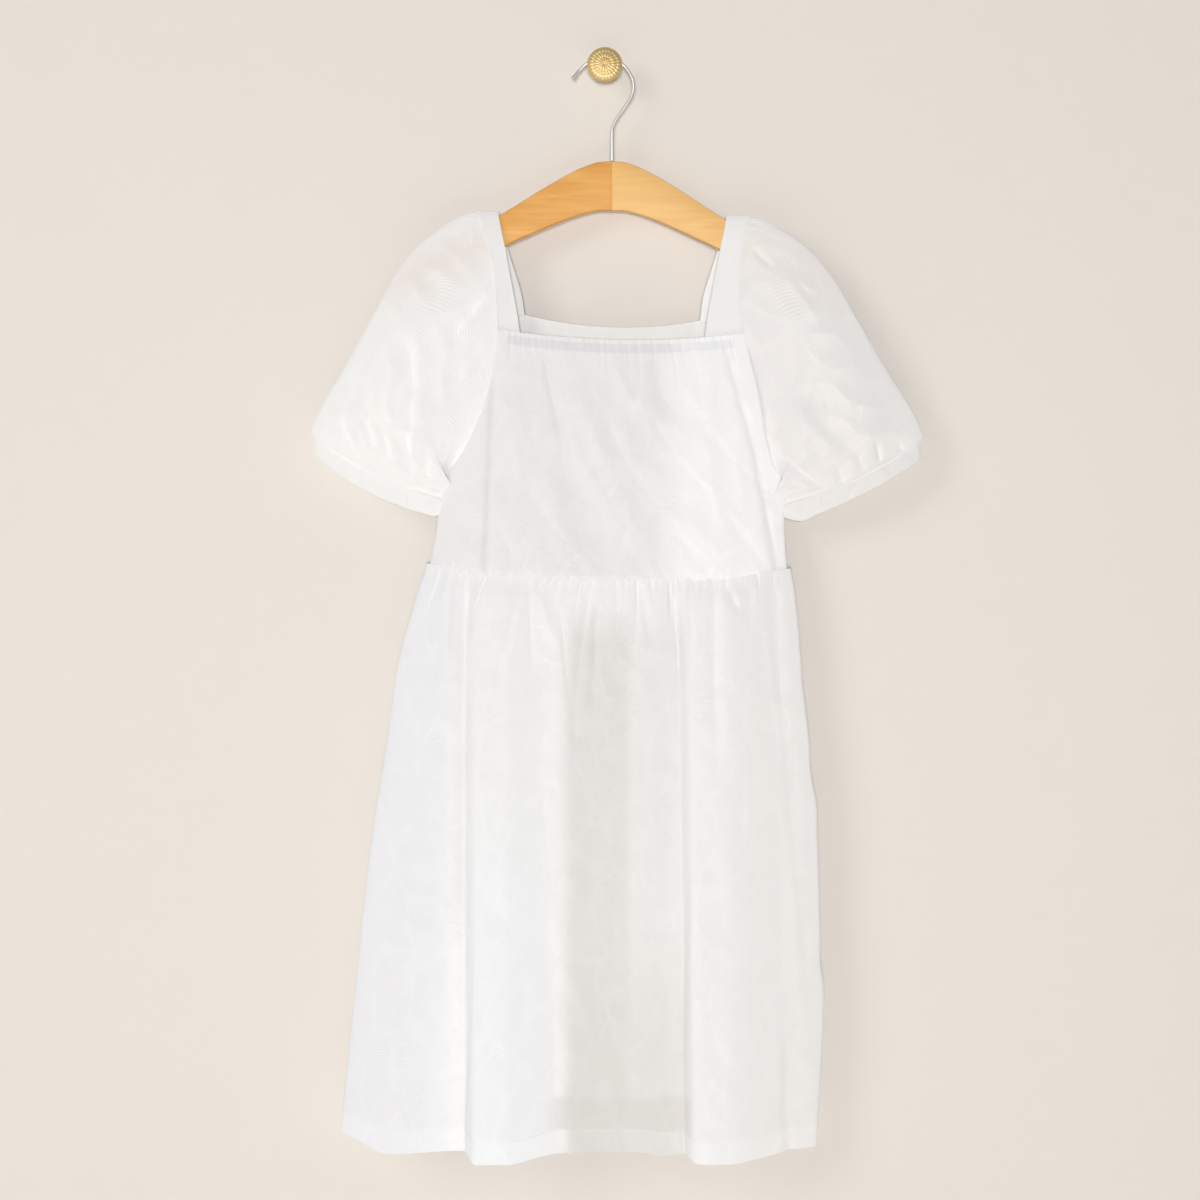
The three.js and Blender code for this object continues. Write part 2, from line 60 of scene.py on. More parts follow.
def between(k, a, b, c, d):  # rises from a to b and falls from c to d
    return ramp(a, b, k) * (1 - ramp(c, d, k))


def mix(a, b, t):
    return a + (b - a) * t


def bell(k):
    return np.exp(-np.square(k))


def cubic(at, value, slope, k):
    k = np.clip(np.asarray(k, float), at[0], at[-1])
    i = np.clip(np.searchsorted(at, k, side="right") - 1, 0, len(at) - 2)
    span = at[i + 1] - at[i]
    t = (k - at[i]) / span
    bend = (1 - t) ** 2 * t * slope[i] - t * t * (1 - t) * slope[i + 1]
    return mix(value[i], value[i + 1], t * t * (3 - 2 * t)) + bend * span


def table(names, rows):
    data = np.array(rows, float)
    at = data[:, 0]
    found = {}
    for column, name in enumerate(names.split()[1:], 1):
        value = data[:, column]
        rate = np.diff(value) / np.diff(at)
        same = rate[:-1] * rate[1:] > 0
        total = np.where(same, rate[:-1] + rate[1:], 1)
        inner = np.where(same, 2 * rate[:-1] * rate[1:] / total, 0)
        slope = np.concatenate([rate[:1], inner, rate[-1:]])
        found[name] = partial(cubic, at, value, slope)
    return found


def read(shape, at, names):
    return [float(shape[name](at)) for name in names.split()]


def wander(u, seed, waves, pitch=0.61, shift=0.37, most=1.6):  # a slow uneven line between -1 and 1
    line = 0
    for i in range(1, 5):
        line = line + np.sin(2 * math.pi * (waves * i * pitch * u + seed * shift * i)) / i
    return line / most


# Uneven gathers along a seam: spans are shares of its length, depths millimetres.
def pleats(seed, count, span, wide, deep, long, uneven=0.4, slant=0.06, mostlyShort=2.2):
    rng = np.random.default_rng(seed)
    place = (np.arange(count) + 0.5 + rng.uniform(-uneven, uneven, count)) / count
    return {
        "at": mix(span[0], span[1], place),
        "wide": rng.uniform(*wide, count),
        "deep": rng.uniform(*deep, count),
        "long": mix(long[0], long[1], rng.uniform(0, 1, count) ** mostlyShort),
        "slant": rng.uniform(-slant, slant, count),
    }


def pleatDepth(rows, u, v):
    away = u[None, :] - (rows["at"] + rows["slant"] * v)[:, None]
    fade = 1 - ramp(0, 1, v / rows["long"])
    return ((rows["deep"] * fade)[:, None] * bell(away / rows["wide"][:, None])).sum(axis=0)


def offLine(points, fromX, fromDrop, toX, toDrop):  # share along a line, and distance beside it
    x, drop = points[..., 0] - fromX, -points[..., 2] - fromDrop
    ax, ad = toX - fromX, toDrop - fromDrop
    long = math.hypot(ax, ad)
    return (x * ax + drop * ad) / long ** 2, (x * ad - drop * ax) / long


creaseShape = {  # shares of a line's length, and then of a crease's width
    "ends": (-0.12, 0.3, 0.65, 1.1), "shadeLineEnds": (-0.05, 0.2, 0.7, 1.05),
    "steepSide": 0.35, "easySide": 0.7, "lipAt": 0.8, "lipWide": 0.7, "lipLean": 0.6,
}


def pressed(points, creases, weight=1.0, facing=1):  # troughs and ridges laid on a panel
    for crease in creases:
        *line, width, depth, steep = (*crease, 0)[:7]
        along, beside = offLine(points, *line)
        ends = between(along, *creaseShape["ends"])
        easy = 1 + creaseShape["easySide"] * abs(steep)
        spread = width * np.where(beside * steep > 0, creaseShape["steepSide"], easy)
        points[..., 1] += facing * depth * ends * bell(beside / spread) * weight
        pastLip = beside * steep - creaseShape["lipAt"] * width
        lip = bell(pastLip / (creaseShape["lipWide"] * width)) * ends * weight
        points[..., 0] -= steep * creaseShape["lipLean"] * width * lip  # the steep side leans over
    return points


def shaded(points, shadeLines):  # painted shade: darker in soft lines along creases and under fold edges, where shade falls
    light = 1.0
    for *line, width, depth in shadeLines:
        along, beside = offLine(points, *line)
        light = light - depth * between(along, *creaseShape["shadeLineEnds"]) * bell(beside / width)
    return light


# Fine crumples with sharp ridges and broad hollows, from a dozen crossing waves.
def rumpled(points, seed, span, depth, weight=1.0, waves=12, turn=6.28):
    rng = np.random.default_rng(seed)
    x, drop = points[..., 0], -points[..., 2]
    ways, sizes, starts = (rng.uniform(*limits, waves) for limits in ((0, turn), (0.6, 1.5), (0, turn)))
    line = 0
    for way, size, start in zip(ways, sizes, starts):
        line = line + np.sin((x * math.cos(way) + drop * math.sin(way)) * turn * size / span + start)
    points[..., 1] += depth * (np.sqrt(line * line / 6 + 0.06) - 0.8) * weight
    return points


# The cloth's sections

edge = table("drop left right front back", [
    (134, 122.5, 124.5, -36, -36),
    (138, 121, 123.5, -42, -29.2),
    (149, 117.5, 120.5, -44.2, -27),
    (168, 112, 117, -45.3, -26.3),
    (203, 106, 115, -46.6, -25.8),
    (241, 104, 118, -48.5, -25.8),
    (276, 106.5, 126, -49.6, -26.4),
    (303, 113, 132, -49.4, -27.6),
    (338, 127, 138, -47.2, -30.8),
    (361, 141, 146, -43.4, -34.4),
    (377, 154, 154, -38.2, -37.8),
    (415, 157, 154.5, -38.7, -38.3),
    (455, 164.5, 157, -40.2, -39.8),
])
bodice = table("drop front back", [
    (218, -50, -23.5),
    (265, -53, -21),
    (323, -58, -19),
    (383, -60, -17.5),
    (455, -62, -15),
])
strap = table("along drop y inner", [
    (0, 240.2, -49.4, 82),
    (1, 203, -47.4, 89.5),
    (2, 168, -45.9, 96),
    (3, 149, -44.7, 100),
    (4, 138, -42.4, 102),
    (5, 133.6, -36, 102.6),
    (6, 138, -28.8, 102),
    (7, 149, -26.6, 100),
    (8, 168, -25.9, 94),
    (9, 203, -25.4, 83),
    (10, 217, -24.8, 79),
])
sleeve = table("along topX topDrop footX footDrop front back sag", [
    (0, 124.4, 134, 153.5, 377, 6, 6, 0),
    (0.08, 139, 134.5, 154.5, 380, 17, 13, 0),
    (0.2, 161, 151, 155.5, 383.5, 25, 19, 0),
    (0.35, 191.5, 185, 156.5, 387, 31, 24, 0),
    (0.5, 219, 233, 157.5, 389.5, 34, 27, 0),
    (0.65, 244, 278, 158, 391.5, 32, 26, 1),
    (0.8, 263, 310, 158.4, 394, 28, 23, 1.7),
    (0.92, 271, 330, 158.7, 396.4, 22, 18, 2.6),
    (1, 265, 341, 159, 398, 17, 15, 3),
])
cuff = table("along topX topDrop footX footDrop front back sag", [
    (0, 265, 341, 159, 398, 17.3, 15.3, 3),
    (1, 269.5, 353.5, 165, 411, 16, 14, 3),
])
skirt = table("drop left right seam front back", [
    (455, 168, 162, -40, -62.5, -15),
    (495, 180, 166, -41, -66, -14),
    (550, 193.5, 170, -42, -69, -14),
    (605, 200.5, 177, -43, -71, -14),
    (710, 216.5, 184, -44, -74, -14),
    (840, 230, 188, -45, -76, -14),
    (969, 243, 184, -46, -78, -14),
])
lining = table("drop left right front back", [
    (463, 158, 150, -53.5, -24),
    (563, 178, 156, -56, -26),
    (743, 204, 170, -58, -27),
    (923, 222, 172, -59, -28),
])


def hang(x, y, drop):
    tilt = lean * (1 - ramp(waist, hem, drop)) * np.clip(x, -leanReach, leanReach)
    return np.stack(np.broadcast_arrays(x, y, -drop - tilt), axis=-1)


def halfLoop(left, right, edgeY, middleY, square, steps=900):  # one side of a section, and how soft it is
    angle = np.linspace(math.pi, 0, steps)
    c, s = np.cos(angle), np.clip(np.sin(angle), 0, 1)
    x = mix(-left, right, (np.sign(c) * np.abs(c) ** (2 / square) + 1) / 2)
    return x, mix(edgeY, middleY, s ** (2 / square)), ramp(0, 0.5, s)


def alongLoop(x, y, u, facing, *carried):  # points at shares u of the length, the way out, carried values
    length = np.concatenate([[0], np.cumsum(np.hypot(np.diff(x), np.diff(y)))])
    tx, ty = np.gradient(x, length), np.gradient(y, length)
    at = u * length[-1]
    px, py = np.interp(at, length, x), np.interp(at, length, y)
    nx, ny = np.interp(at, length, ty) * facing, -np.interp(at, length, tx) * facing
    size = np.hypot(nx, ny)
    return px, py, nx / size, ny / size, *(np.interp(at, length, value) for value in carried)


# Building pieces

def place(x, y, z):  # from the dress's own millimetres to the frame
    return (x + hangerX) * millimetre, y * millimetre, z * millimetre


def newPiece(name, bm):
    mesh = bpy.data.meshes.new(name)
    bm.to_mesh(mesh)
    bm.free()
    return bpy.data.objects.new(name, mesh)


def setUp(obj, node, material):
    scene.collection.objects.link(obj)
    obj.data.materials.append(material)
    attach(obj, "root")
    if node:
        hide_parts(node)
    return obj


def wayOut(points, facing):
    out = -facing * np.cross(np.gradient(points, axis=1), np.gradient(points, axis=0))
    return out / np.maximum(np.linalg.norm(out, axis=-1, keepdims=True), 1e-9)


slopeShade = {"depth": 0.04, "span": (0.3, 0.85), "brightest": 1.15}  # a fold's steep sides are darker


def clothPiece(name, points, cloth, tint=1.0, flip=False, closed=False):
    rows, cols = points.shape[:2]
    steep = 1 - np.abs(wayOut(points, 1)[..., 1:2])
    slope = 1 - slopeShade["depth"] * ramp(*slopeShade["span"], steep)
    tint = np.minimum(np.broadcast_to(tint, (rows, cols, 3)) * slope, slopeShade["brightest"])
    bm = bmesh.new()
    bmesh.ops.create_grid(bm, x_segments=cols - 1, y_segments=rows - 1, size=0.5)
    uvLayer = bm.loops.layers.uv.new("UVMap")
    tintLayer = bm.verts.layers.float_vector.new("tint")
    cell = {}
    for vert in bm.verts:
        cell[vert] = round((vert.co.x + 0.5) * (cols - 1)), round((0.5 - vert.co.y) * (rows - 1))
    for face in bm.faces:
        face.smooth = True
        for loop in face.loops:
            i, j = cell[loop.vert]
            loop[uvLayer].uv = (cloth[0] * i / (cols - 1), cloth[1] * (1 - j / (rows - 1)))
    for vert, (i, j) in cell.items():
        vert.co = place(*points[j, i])
        vert[tintLayer] = Vector(tint[j, i])
    if closed:
        bmesh.ops.remove_doubles(bm, verts=bm.verts, dist=1e-6)
    if flip:
        bmesh.ops.reverse_faces(bm, faces=bm.faces)
    return newPiece(name, bm)


def thicken(obj, thick):
    solid = obj.modifiers.new("thick", "SOLIDIFY")
    solid.thickness = thick * millimetre
    solid.offset = -1
    solid.use_rim = True
    return obj


stitchRows = []


def sewn(points, row, facing, trim=0, clear=0.25):  # remembers a line of sewing on a piece
    points = points[:, trim:points.shape[1] - trim]
    out = wayOut(points, facing)[row]
    stitchRows.append((points[row] + out * clear, out))


# Materials

def node(tree, kind, **values):  # a value is a setting of the node, or else what an input holds
    made = tree.nodes.new(kind)
    for key, value in values.items():
        if hasattr(made, key):
            setattr(made, key, value)
        else:
            made.inputs[key].default_value = value
    return made


def calc(tree, operation, *values):
    made = node(tree, "ShaderNodeMath", operation=operation)
    for value, socket in zip(values, made.inputs):
        if isinstance(value, (int, float)):
            socket.default_value = value
        else:
            tree.links.new(value, socket)
    return made.outputs[0]


def smoothStep(tree, value, low, high):
    made = node(tree, "ShaderNodeMapRange", interpolation_type="SMOOTHSTEP",
                **{"From Min": low, "From Max": high})
    tree.links.new(value, made.inputs["Value"])
    return made.outputs[0]


def noise(tree, vector, scale, detail):
    made = node(tree, "ShaderNodeTexNoise", noise_dimensions="2D", Scale=scale, Detail=detail)
    tree.links.new(vector, made.inputs["Vector"])
    return made


def newMaterial(name):
    material = bpy.data.materials.new(name)
    material.use_nodes = True
    tree = material.node_tree
    tree.nodes.clear()
    return material, tree


def shown(tree, shader):
    tree.links.new(shader.outputs[0], node(tree, "ShaderNodeOutputMaterial").inputs[0])


weave = {
    "cell": 0.036, "tall": 0.62, "drift": 0.026, "driftScale": 24,  # uneven cells, in metres of cloth
    "hatch": 0.0021, "rim": (0.02, 0.09), "patch": (0.5, 0.62), "patchScale": 55,  # hatched patches in them
    "threadScale": 900, "thread": 0.5, "sunk": -1.2, "high": 0.00022,
    "dark": 0.955, "cellTone": (-0.25, 0.95), "hatchTone": 0.5,
    "even": 4.0, "leastOut": 0.12,  # light inside thin cloth evens out its steep slopes
}


def clothMaterial(name, colour, relief):
    material, tree = newMaterial(name)
    material.cycles.use_bump_map_correction = False
    link = tree.links.new
    uv = node(tree, "ShaderNodeUVMap", uv_map="UVMap").outputs[0]
    # the tint attribute carries each piece's painted light and shade along with its tones
    tint = node(tree, "ShaderNodeAttribute", attribute_name="tint")

    pull = node(tree, "ShaderNodeVectorMath", operation="MULTIPLY_ADD")
    pull.inputs[1].default_value = (weave["drift"], weave["drift"], 0)
    link(noise(tree, uv, weave["driftScale"], 1).outputs["Color"], pull.inputs[0])
    link(uv, pull.inputs[2])
    stretch = node(tree, "ShaderNodeVectorMath", operation="MULTIPLY")
    stretch.inputs[1].default_value = (1, weave["tall"], 1)
    link(pull.outputs[0], stretch.inputs[0])
    cells, rims = (node(tree, "ShaderNodeTexVoronoi", voronoi_dimensions="2D", feature=feature,
                        Scale=1 / weave["cell"]) for feature in ("F1", "DISTANCE_TO_EDGE"))
    for made in (cells, rims):
        link(stretch.outputs[0], made.inputs["Vector"])
    inside = smoothStep(tree, rims.outputs["Distance"], *weave["rim"])

    # each cell has its own way of hatching
    split = node(tree, "ShaderNodeSeparateColor")
    link(cells.outputs["Color"], split.inputs[0])
    angle = calc(tree, "MULTIPLY", split.outputs[0], math.pi)
    spot = node(tree, "ShaderNodeSeparateXYZ")
    link(uv, spot.inputs[0])
    across = calc(tree, "MULTIPLY", spot.outputs[0], calc(tree, "COSINE", angle))
    along = calc(tree, "MULTIPLY_ADD", spot.outputs[1], calc(tree, "SINE", angle), across)
    wave = calc(tree, "SINE", calc(tree, "MULTIPLY", along, 2 * math.pi / weave["hatch"]))
    patch = noise(tree, uv, weave["patchScale"], 0).outputs[0]
    filled = smoothStep(tree, patch, *weave["patch"])
    hatch = calc(tree, "MULTIPLY", wave, calc(tree, "MULTIPLY", inside, filled))

    thread = noise(tree, uv, weave["threadScale"], 2).outputs[0]
    height = calc(tree, "MULTIPLY_ADD", thread, weave["thread"], hatch)
    height = calc(tree, "MULTIPLY_ADD", inside, weave["sunk"], height)
    bump = node(tree, "ShaderNodeBump", Strength=relief, Distance=weave["high"])
    link(height, bump.inputs["Height"])
    way = node(tree, "ShaderNodeSeparateXYZ")
    link(bump.outputs[0], way.inputs[0])
    true = node(tree, "ShaderNodeSeparateXYZ")
    link(node(tree, "ShaderNodeNewGeometry").outputs["Normal"], true.inputs[0])
    sign = calc(tree, "SIGN", true.outputs[1])
    outward = calc(tree, "MAXIMUM", calc(tree, "MULTIPLY", way.outputs[1], sign), weave["leastOut"])
    lift = calc(tree, "MULTIPLY_ADD", outward, -weave["even"], 1 + weave["even"])
    lifted = calc(tree, "MULTIPLY", outward, calc(tree, "POWER", lift, 2))
    turned = node(tree, "ShaderNodeCombineXYZ")
    link(way.outputs[0], turned.inputs[0])
    link(calc(tree, "MULTIPLY", lifted, sign), turned.inputs[1])
    link(way.outputs[2], turned.inputs[2])
    normal = node(tree, "ShaderNodeVectorMath", operation="NORMALIZE")
    link(turned.outputs[0], normal.inputs[0])

    darker = tuple(c * weave["dark"] for c in colour[:3]) + (1,)
    tone = node(tree, "ShaderNodeMix", data_type="RGBA", A=darker, B=colour)
    shade = calc(tree, "MULTIPLY_ADD", inside, *weave["cellTone"])
    link(calc(tree, "MULTIPLY_ADD", hatch, weave["hatchTone"], shade), tone.inputs["Factor"])
    dyed = node(tree, "ShaderNodeMix", data_type="RGBA", blend_type="MULTIPLY", Factor=1)
    link(tone.outputs["Result"], dyed.inputs["A"])
    link(tint.outputs["Color"], dyed.inputs["B"])
    body = node(tree, "ShaderNodeBsdfPrincipled", Roughness=0.75,
                **{"Specular IOR Level": 0.2, "Sheen Weight": 0.08})
    link(dyed.outputs["Result"], body.inputs["Base Color"])
    link(normal.outputs[0], body.inputs["Normal"])
    shown(tree, body)
    return material


def woodMaterial(name, light, dark, tilt):
    material, tree = newMaterial(name)
    link = tree.links.new
    turn = node(tree, "ShaderNodeMapping", Rotation=(0, tilt, 0), Scale=(5, 60, 75))
    link(node(tree, "ShaderNodeTexCoord").outputs["Object"], turn.inputs[0])
    grain = node(tree, "ShaderNodeTexNoise", Scale=1.6, Detail=5, Distortion=0.6)
    link(turn.outputs[0], grain.inputs["Vector"])
    spread = node(tree, "ShaderNodeMapRange", **{"From Min": 0.32, "From Max": 0.66})
    link(grain.outputs[0], spread.inputs["Value"])
    tone = node(tree, "ShaderNodeMix", data_type="RGBA", A=dark, B=light)
    link(spread.outputs[0], tone.inputs["Factor"])
    body = node(tree, "ShaderNodeBsdfPrincipled", Roughness=0.55, **{"Coat Weight": 0.04})
    link(tone.outputs["Result"], body.inputs["Base Color"])
    shown(tree, body)
    return material


def plainMaterial(name, colour, roughness=0.8, metallic=0.0):
    material, tree = newMaterial(name)
    shown(tree, node(tree, "ShaderNodeBsdfPrincipled", Roughness=roughness, Metallic=metallic,
                     **{"Base Color": colour}))
    return material


white = (0.838, 0.834, 0.83, 1)
jacquard = clothMaterial("jacquard", white, relief=0.5)
sleeveCloth = clothMaterial("sleeveCloth", white, relief=0.75)
bandCloth = clothMaterial("bandCloth", white, relief=0.15)
liningCloth = plainMaterial("liningCloth", (0.80, 0.79, 0.78, 1))
elasticCloth = plainMaterial("elasticCloth", (0.70, 0.71, 0.79, 1))
stitchThread = plainMaterial("stitchThread", (0.81, 0.8, 0.79, 1))
print("materials made")

# Skirt

skirtShape = {
    "cols": {"front": 440, "back": 300}, "rows": 190, "upper": 0.2, "square": 2.8, "clear": 0.8,
    "flat": {"front": (0.53, 0.54), "back": (0.50, 0.54)},
    "fine": {
        "count": 42, "span": (0.02, 0.98), "wide": (0.0024, 0.005),
        "deep": (0.5, 3.2), "long": (0.025, 0.14),
    },
    "broad": {
        "count": 13, "span": (0.04, 0.96), "wide": (0.009, 0.017), "deep": (1.6, 4.2), "long": (0.12, 0.45),
    },
    "foldStart": 0.18, "foldGrowth": 0.8, "foldDrop": 0.2,  # a fold's share at the waist, and its lower hem
    "waver": 0.7, "puff": 0.6, "waistPull": 1.8, "waistTuck": 5.0, "sideWave": 1.6,
    "rumpleSpan": 62, "rumple": 0.9,
    "hemLift": 13.0, "hemLiftReach": 45, "hemDeep": 21.5, "hemInset": 0.9, "hemRows": 8, "hemCloth": 0.024,
    "hemTint": 0.03, "stitchDown": 0.004,
    "shadeSeenThrough": (0.128, 0.143, 0.165),  # painted shade: how much darker the cloth is where it hangs single and the shaded inside shows through
    "floor": (-50, -32, 8, 20), "ledge": (8, 20, 60, 72), "strip": (-64, -34, 60, 72),  # across, in x
    "unlined": (0.896, 0.91), "stripDepth": 1.42,
    "front": [  # top, foot, rise, crest, fall at the waist, fall at the hem, height
        (-180, -228, 30, 6, 24, 40, 6),
        (-160, -168, 34, 4, 14, 14, -5),
        (-131, -131, 11, 24, 30, 52, 26),
        (-56, -44, 40, 10, 36, 36, -4),
        (10, 20, 26, 10, 20, 20, 7),
        (30, 36, 26, 4, 14, 14, -3),
        (57, 63, 11, 24, 62, 68, 26),
        (134, 146, 10, 40, 20, 20, -4),
    ],
    "back": [
        (-140, -196, 26, 8, 26, 26, 7),
        (-96, -124, 26, 6, 26, 26, -9),
        (-44, -62, 26, 8, 26, 26, 8),
        (0, -6, 26, 6, 26, 26, -9),
        (48, 46, 26, 8, 26, 26, 8),
        (92, 96, 24, 6, 24, 24, -8),
    ],
    "frontCreases": [  # from x and drop to x and drop, width, depth, any steep side
        (-76, 464, -72, 555, 4, 2),
        (-64, 479, -49, 525, 6, -3),
        (-14, 487, -18, 581, 4, 3),
        (54, 475, 60, 555, 4, 4),
        (100, 467, 112, 494, 4, 3),
        (113, 646, 115, 696, 5, 2),
        (-146, 468, -150, 560, 4, 3),
        (-128, 468, -134, 640, 6, 3),
        (-194, 734, -171, 792, 5, -1.5),
        (-156, 752, -171, 792, 5, -1.5),
        (-171, 792, -178, 850, 7, 2),
        (26, 470, 33, 520, 4, 2.5),
        (132, 500, 146, 640, 5, 2.5),
        (-48, 486, -34, 612, 6, 2.4, -0.3),
    ],
    "backCreases": [
        (-120, 468, -132, 590, 5, 3),
        (-60, 466, -64, 560, 4, 3.5),
        (14, 470, 12, 640, 7, 3),
        (70, 466, 78, 540, 4, 3),
        (120, 468, 132, 600, 6, 3),
        (-150, 700, -170, 860, 9, 2.5),
        (60, 720, 66, 880, 10, -2),
    ],
    "shadeLines": [  # painted shade lines: from x and drop to x and drop, width, depth
        (-134, 462, -135, 800, 6, 0.09),
        (-133, 700, -133, 1040, 6, 0.05),
        (58, 478, 60, 760, 4, 0.03),
        (60, 700, 64, 1040, 5, 0.04),
        (137, 470, 178, 900, 4, 0.04),
        (-142, 466, -146, 540, 3, 0.05),
        (-122, 466, -126, 520, 3, 0.05),
        (-76, 464, -73, 540, 3, 0.02),
        (-16, 480, -18, 570, 3, 0.05),
        (52, 470, 58, 545, 2.5, 0.05),
        (24, 470, 30, 515, 2.5, 0.04),
        (102, 467, 112, 500, 2.5, 0.04),
    ],
}


def foldHeight(folds, x, v):
    grown = mix(skirtShape["foldStart"], 1, v ** skirtShape["foldGrowth"]) * ramp(-0.004, 0.035, v)
    total = 0
    for top, foot, rise, crest, fallTop, fallFoot, height in folds:
        start, fall = mix(top, foot, v), mix(fallTop, fallFoot, v)
        end = start + rise + crest
        total = total + height * grown * between(x, start, start + rise, end, end + fall)
    return total


# v is the share of the way from waist to hem, and u the share across from the left.
def skirtSurface(name, facing, cols, rowsV, inset=0.0):
    u = np.linspace(0, 1, cols)
    sides = ramp(0, 0.05, u * (1 - u))
    bow = 1 - (2 * u - 1) ** 2
    fine = pleats(11 + facing, **skirtShape["fine"])
    broad = pleats(31 + facing, **skirtShape["broad"])
    out = []
    for v in rowsV:
        drop = mix(waist, hem, v)
        left, right, seam, middle = read(skirt, drop, "left right seam " + name)
        x, y, soft = halfLoop(left, right, seam, middle, skirtShape["square"])
        high = foldHeight(skirtShape[name], x, v) * soft
        px, py, nx, ny, high = alongLoop(x, y - facing * high, u, facing, high)
        rise = skirtShape["clear"] - pleatDepth(fine, u, v) * ramp(-0.004, 0.008, v)
        rise = rise - pleatDepth(broad, u, v) * ramp(0, 0.03, v)
        rise = rise + skirtShape["waver"] * wander(u * 2 + 0.3 * v, 3, 4) * ramp(0.1, 0.5, v)
        rise = (rise + skirtShape["puff"] * (1 - ramp(0.03, 0.1, v))) * sides
        rise = rise - inset - skirtShape["waistPull"] * (1 - ramp(0, 0.03, v))
        px, py = px + nx * rise, py + ny * rise
        px = px + skirtShape["sideWave"] * wander(v, 2.3, 5) * ramp(0.9, 1, u) * ramp(0.05, 0.2, v)
        dip = waistDip * (1 - v) * bow if facing > 0 else 0
        sink = skirtShape["foldDrop"] * np.maximum(high, 0) * v
        lift = skirtShape["hemLift"] * v * (1 - ramp(0, skirtShape["hemLiftReach"], px + left))
        tuck = skirtShape["waistTuck"] * (1 - ramp(0, 0.012, v))
        out.append(hang(px, py, drop + dip + sink - lift - tuck))
    weight = ramp(0.02, 0.2, rowsV)[:, None] * sides
    depth = skirtShape["rumple"] * facing
    out = rumpled(np.array(out), 41 + facing, skirtShape["rumpleSpan"], depth, weight)
    return pressed(out, skirtShape[name + "Creases"], 1.0, facing)


def frontTint(points, low, doubled):  # painted shade: the front is darker in its trough and unlined strip, where the shaded inside shows through
    x = points[..., 0]
    floor, ledge, strip = (between(x, *skirtShape[part]) for part in ("floor", "ledge", "strip"))
    shadeAmount = floor * mix(1, 1.2, ramp(0.6, 0.85, low)) + ledge * mix(0.5, 1, ramp(0.55, 0.85, low))
    shadeAmount = shadeAmount * ramp(0.02, 0.12, low)
    unlined = ramp(*skirtShape["unlined"], low + 0.006 * wander(x * 0.004, 2, 3)) * (1 - doubled)
    shadeAmount = mix(shadeAmount, skirtShape["stripDepth"], unlined * strip)
    tint = 1 + skirtShape["hemTint"] * (doubled * (1 - (floor + ledge)))[..., None]
    tint = tint - shadeAmount[..., None] * np.array(skirtShape["shadeSeenThrough"])
    # painted light colour: cooler where the left light falls, warmer in the shade on the right
    for mask, change in (
        (between(x, -134, -120, -76, -50) * ramp(0.25, 0.6, low), (0.005, 0.025, 0.045)),  # painted cool light on the left fold
        (ramp(100, 125, x), (-0.012, -0.03, -0.04)),  # painted warm shade on the right side
        (1 - ramp(-150, -136, x), (-0.03, -0.03, 0)),  # painted bluish shade on the left panel
    ):
        tint = tint + mask[..., None] * np.array(change)
    return tint * shaded(points, skirtShape["shadeLines"])[..., None]


hemShare = skirtShape["hemDeep"] / (hem - waist)
upperRows = skirtShape["rows"] // 3  # rows lie closer where the gathers are
rowsV = np.concatenate([
    np.linspace(0, skirtShape["upper"], upperRows, endpoint=False),
    np.linspace(skirtShape["upper"], 1, skirtShape["rows"] - upperRows),
])
doubled = ramp(1 - hemShare - 0.002, 1 - hemShare, rowsV)[:, None]
stitchRow = int(np.argmin(np.abs(rowsV - (1 - hemShare + skirtShape["stitchDown"]))))
for name, facing in (("front", 1), ("back", -1)):
    cols, flat = skirtShape["cols"][name], skirtShape["flat"][name]
    points = skirtSurface(name, facing, cols, rowsV)
    tint = 1 + skirtShape["hemTint"] * doubled[..., None]
    if facing > 0:
        tint = frontTint(points, rowsV[:, None], doubled)
    panel = clothPiece("skirt" + name.title(), points, flat, tint=tint, flip=facing < 0)
    setUp(panel, "skirt_" + name, jacquard)
    sewn(points, stitchRow, facing)
    turnUpRows = np.linspace(1 - hemShare, 1, skirtShape["hemRows"])
    turnUp = skirtSurface(name, facing, cols // 2, turnUpRows, skirtShape["hemInset"])
    hemPiece = clothPiece("hem" + name.title(), turnUp, (flat[0], skirtShape["hemCloth"]), flip=facing < 0)
    setUp(hemPiece, None, bandCloth)
print("skirt made")

liningShape = {
    "top": 463.0, "foot": 923.0, "rows": 60, "cols": 90, "cloth": (0.8, 0.46),
    "square": 2.6, "waves": 7, "wave": 1.2,
}
liningPoints = []
u = np.linspace(0, 1, liningShape["cols"])
for v in np.linspace(0, 1, liningShape["rows"]):
    drop = mix(liningShape["top"], liningShape["foot"], v)
    ring = []
    for facing, name in ((1, "front"), (-1, "back")):
        left, right, middle = read(lining, drop, "left right " + name)
        x, y = halfLoop(left, right, *read(skirt, drop, "seam"), middle, liningShape["square"])[:2]
        px, py, nx, ny = alongLoop(x, y, u, facing)
        wave = np.cos(2 * math.pi * liningShape["waves"] * u)
        rise = liningShape["wave"] * wave * ramp(0, 0.2, u * (1 - u)) * v
        sag = waistDip * (1 - v) * (1 - (2 * u - 1) ** 2) if facing > 0 else 0
        ring.append(hang(px + nx * rise, py + ny * rise, drop + sag)[::facing])
    liningPoints.append(np.concatenate([ring[0], ring[1][1:]]))
liningPiece = clothPiece("skirtLining", np.array(liningPoints), liningShape["cloth"], closed=True)
setUp(liningPiece, "skirt_lining", liningCloth)
print("lining made")

# Bodice

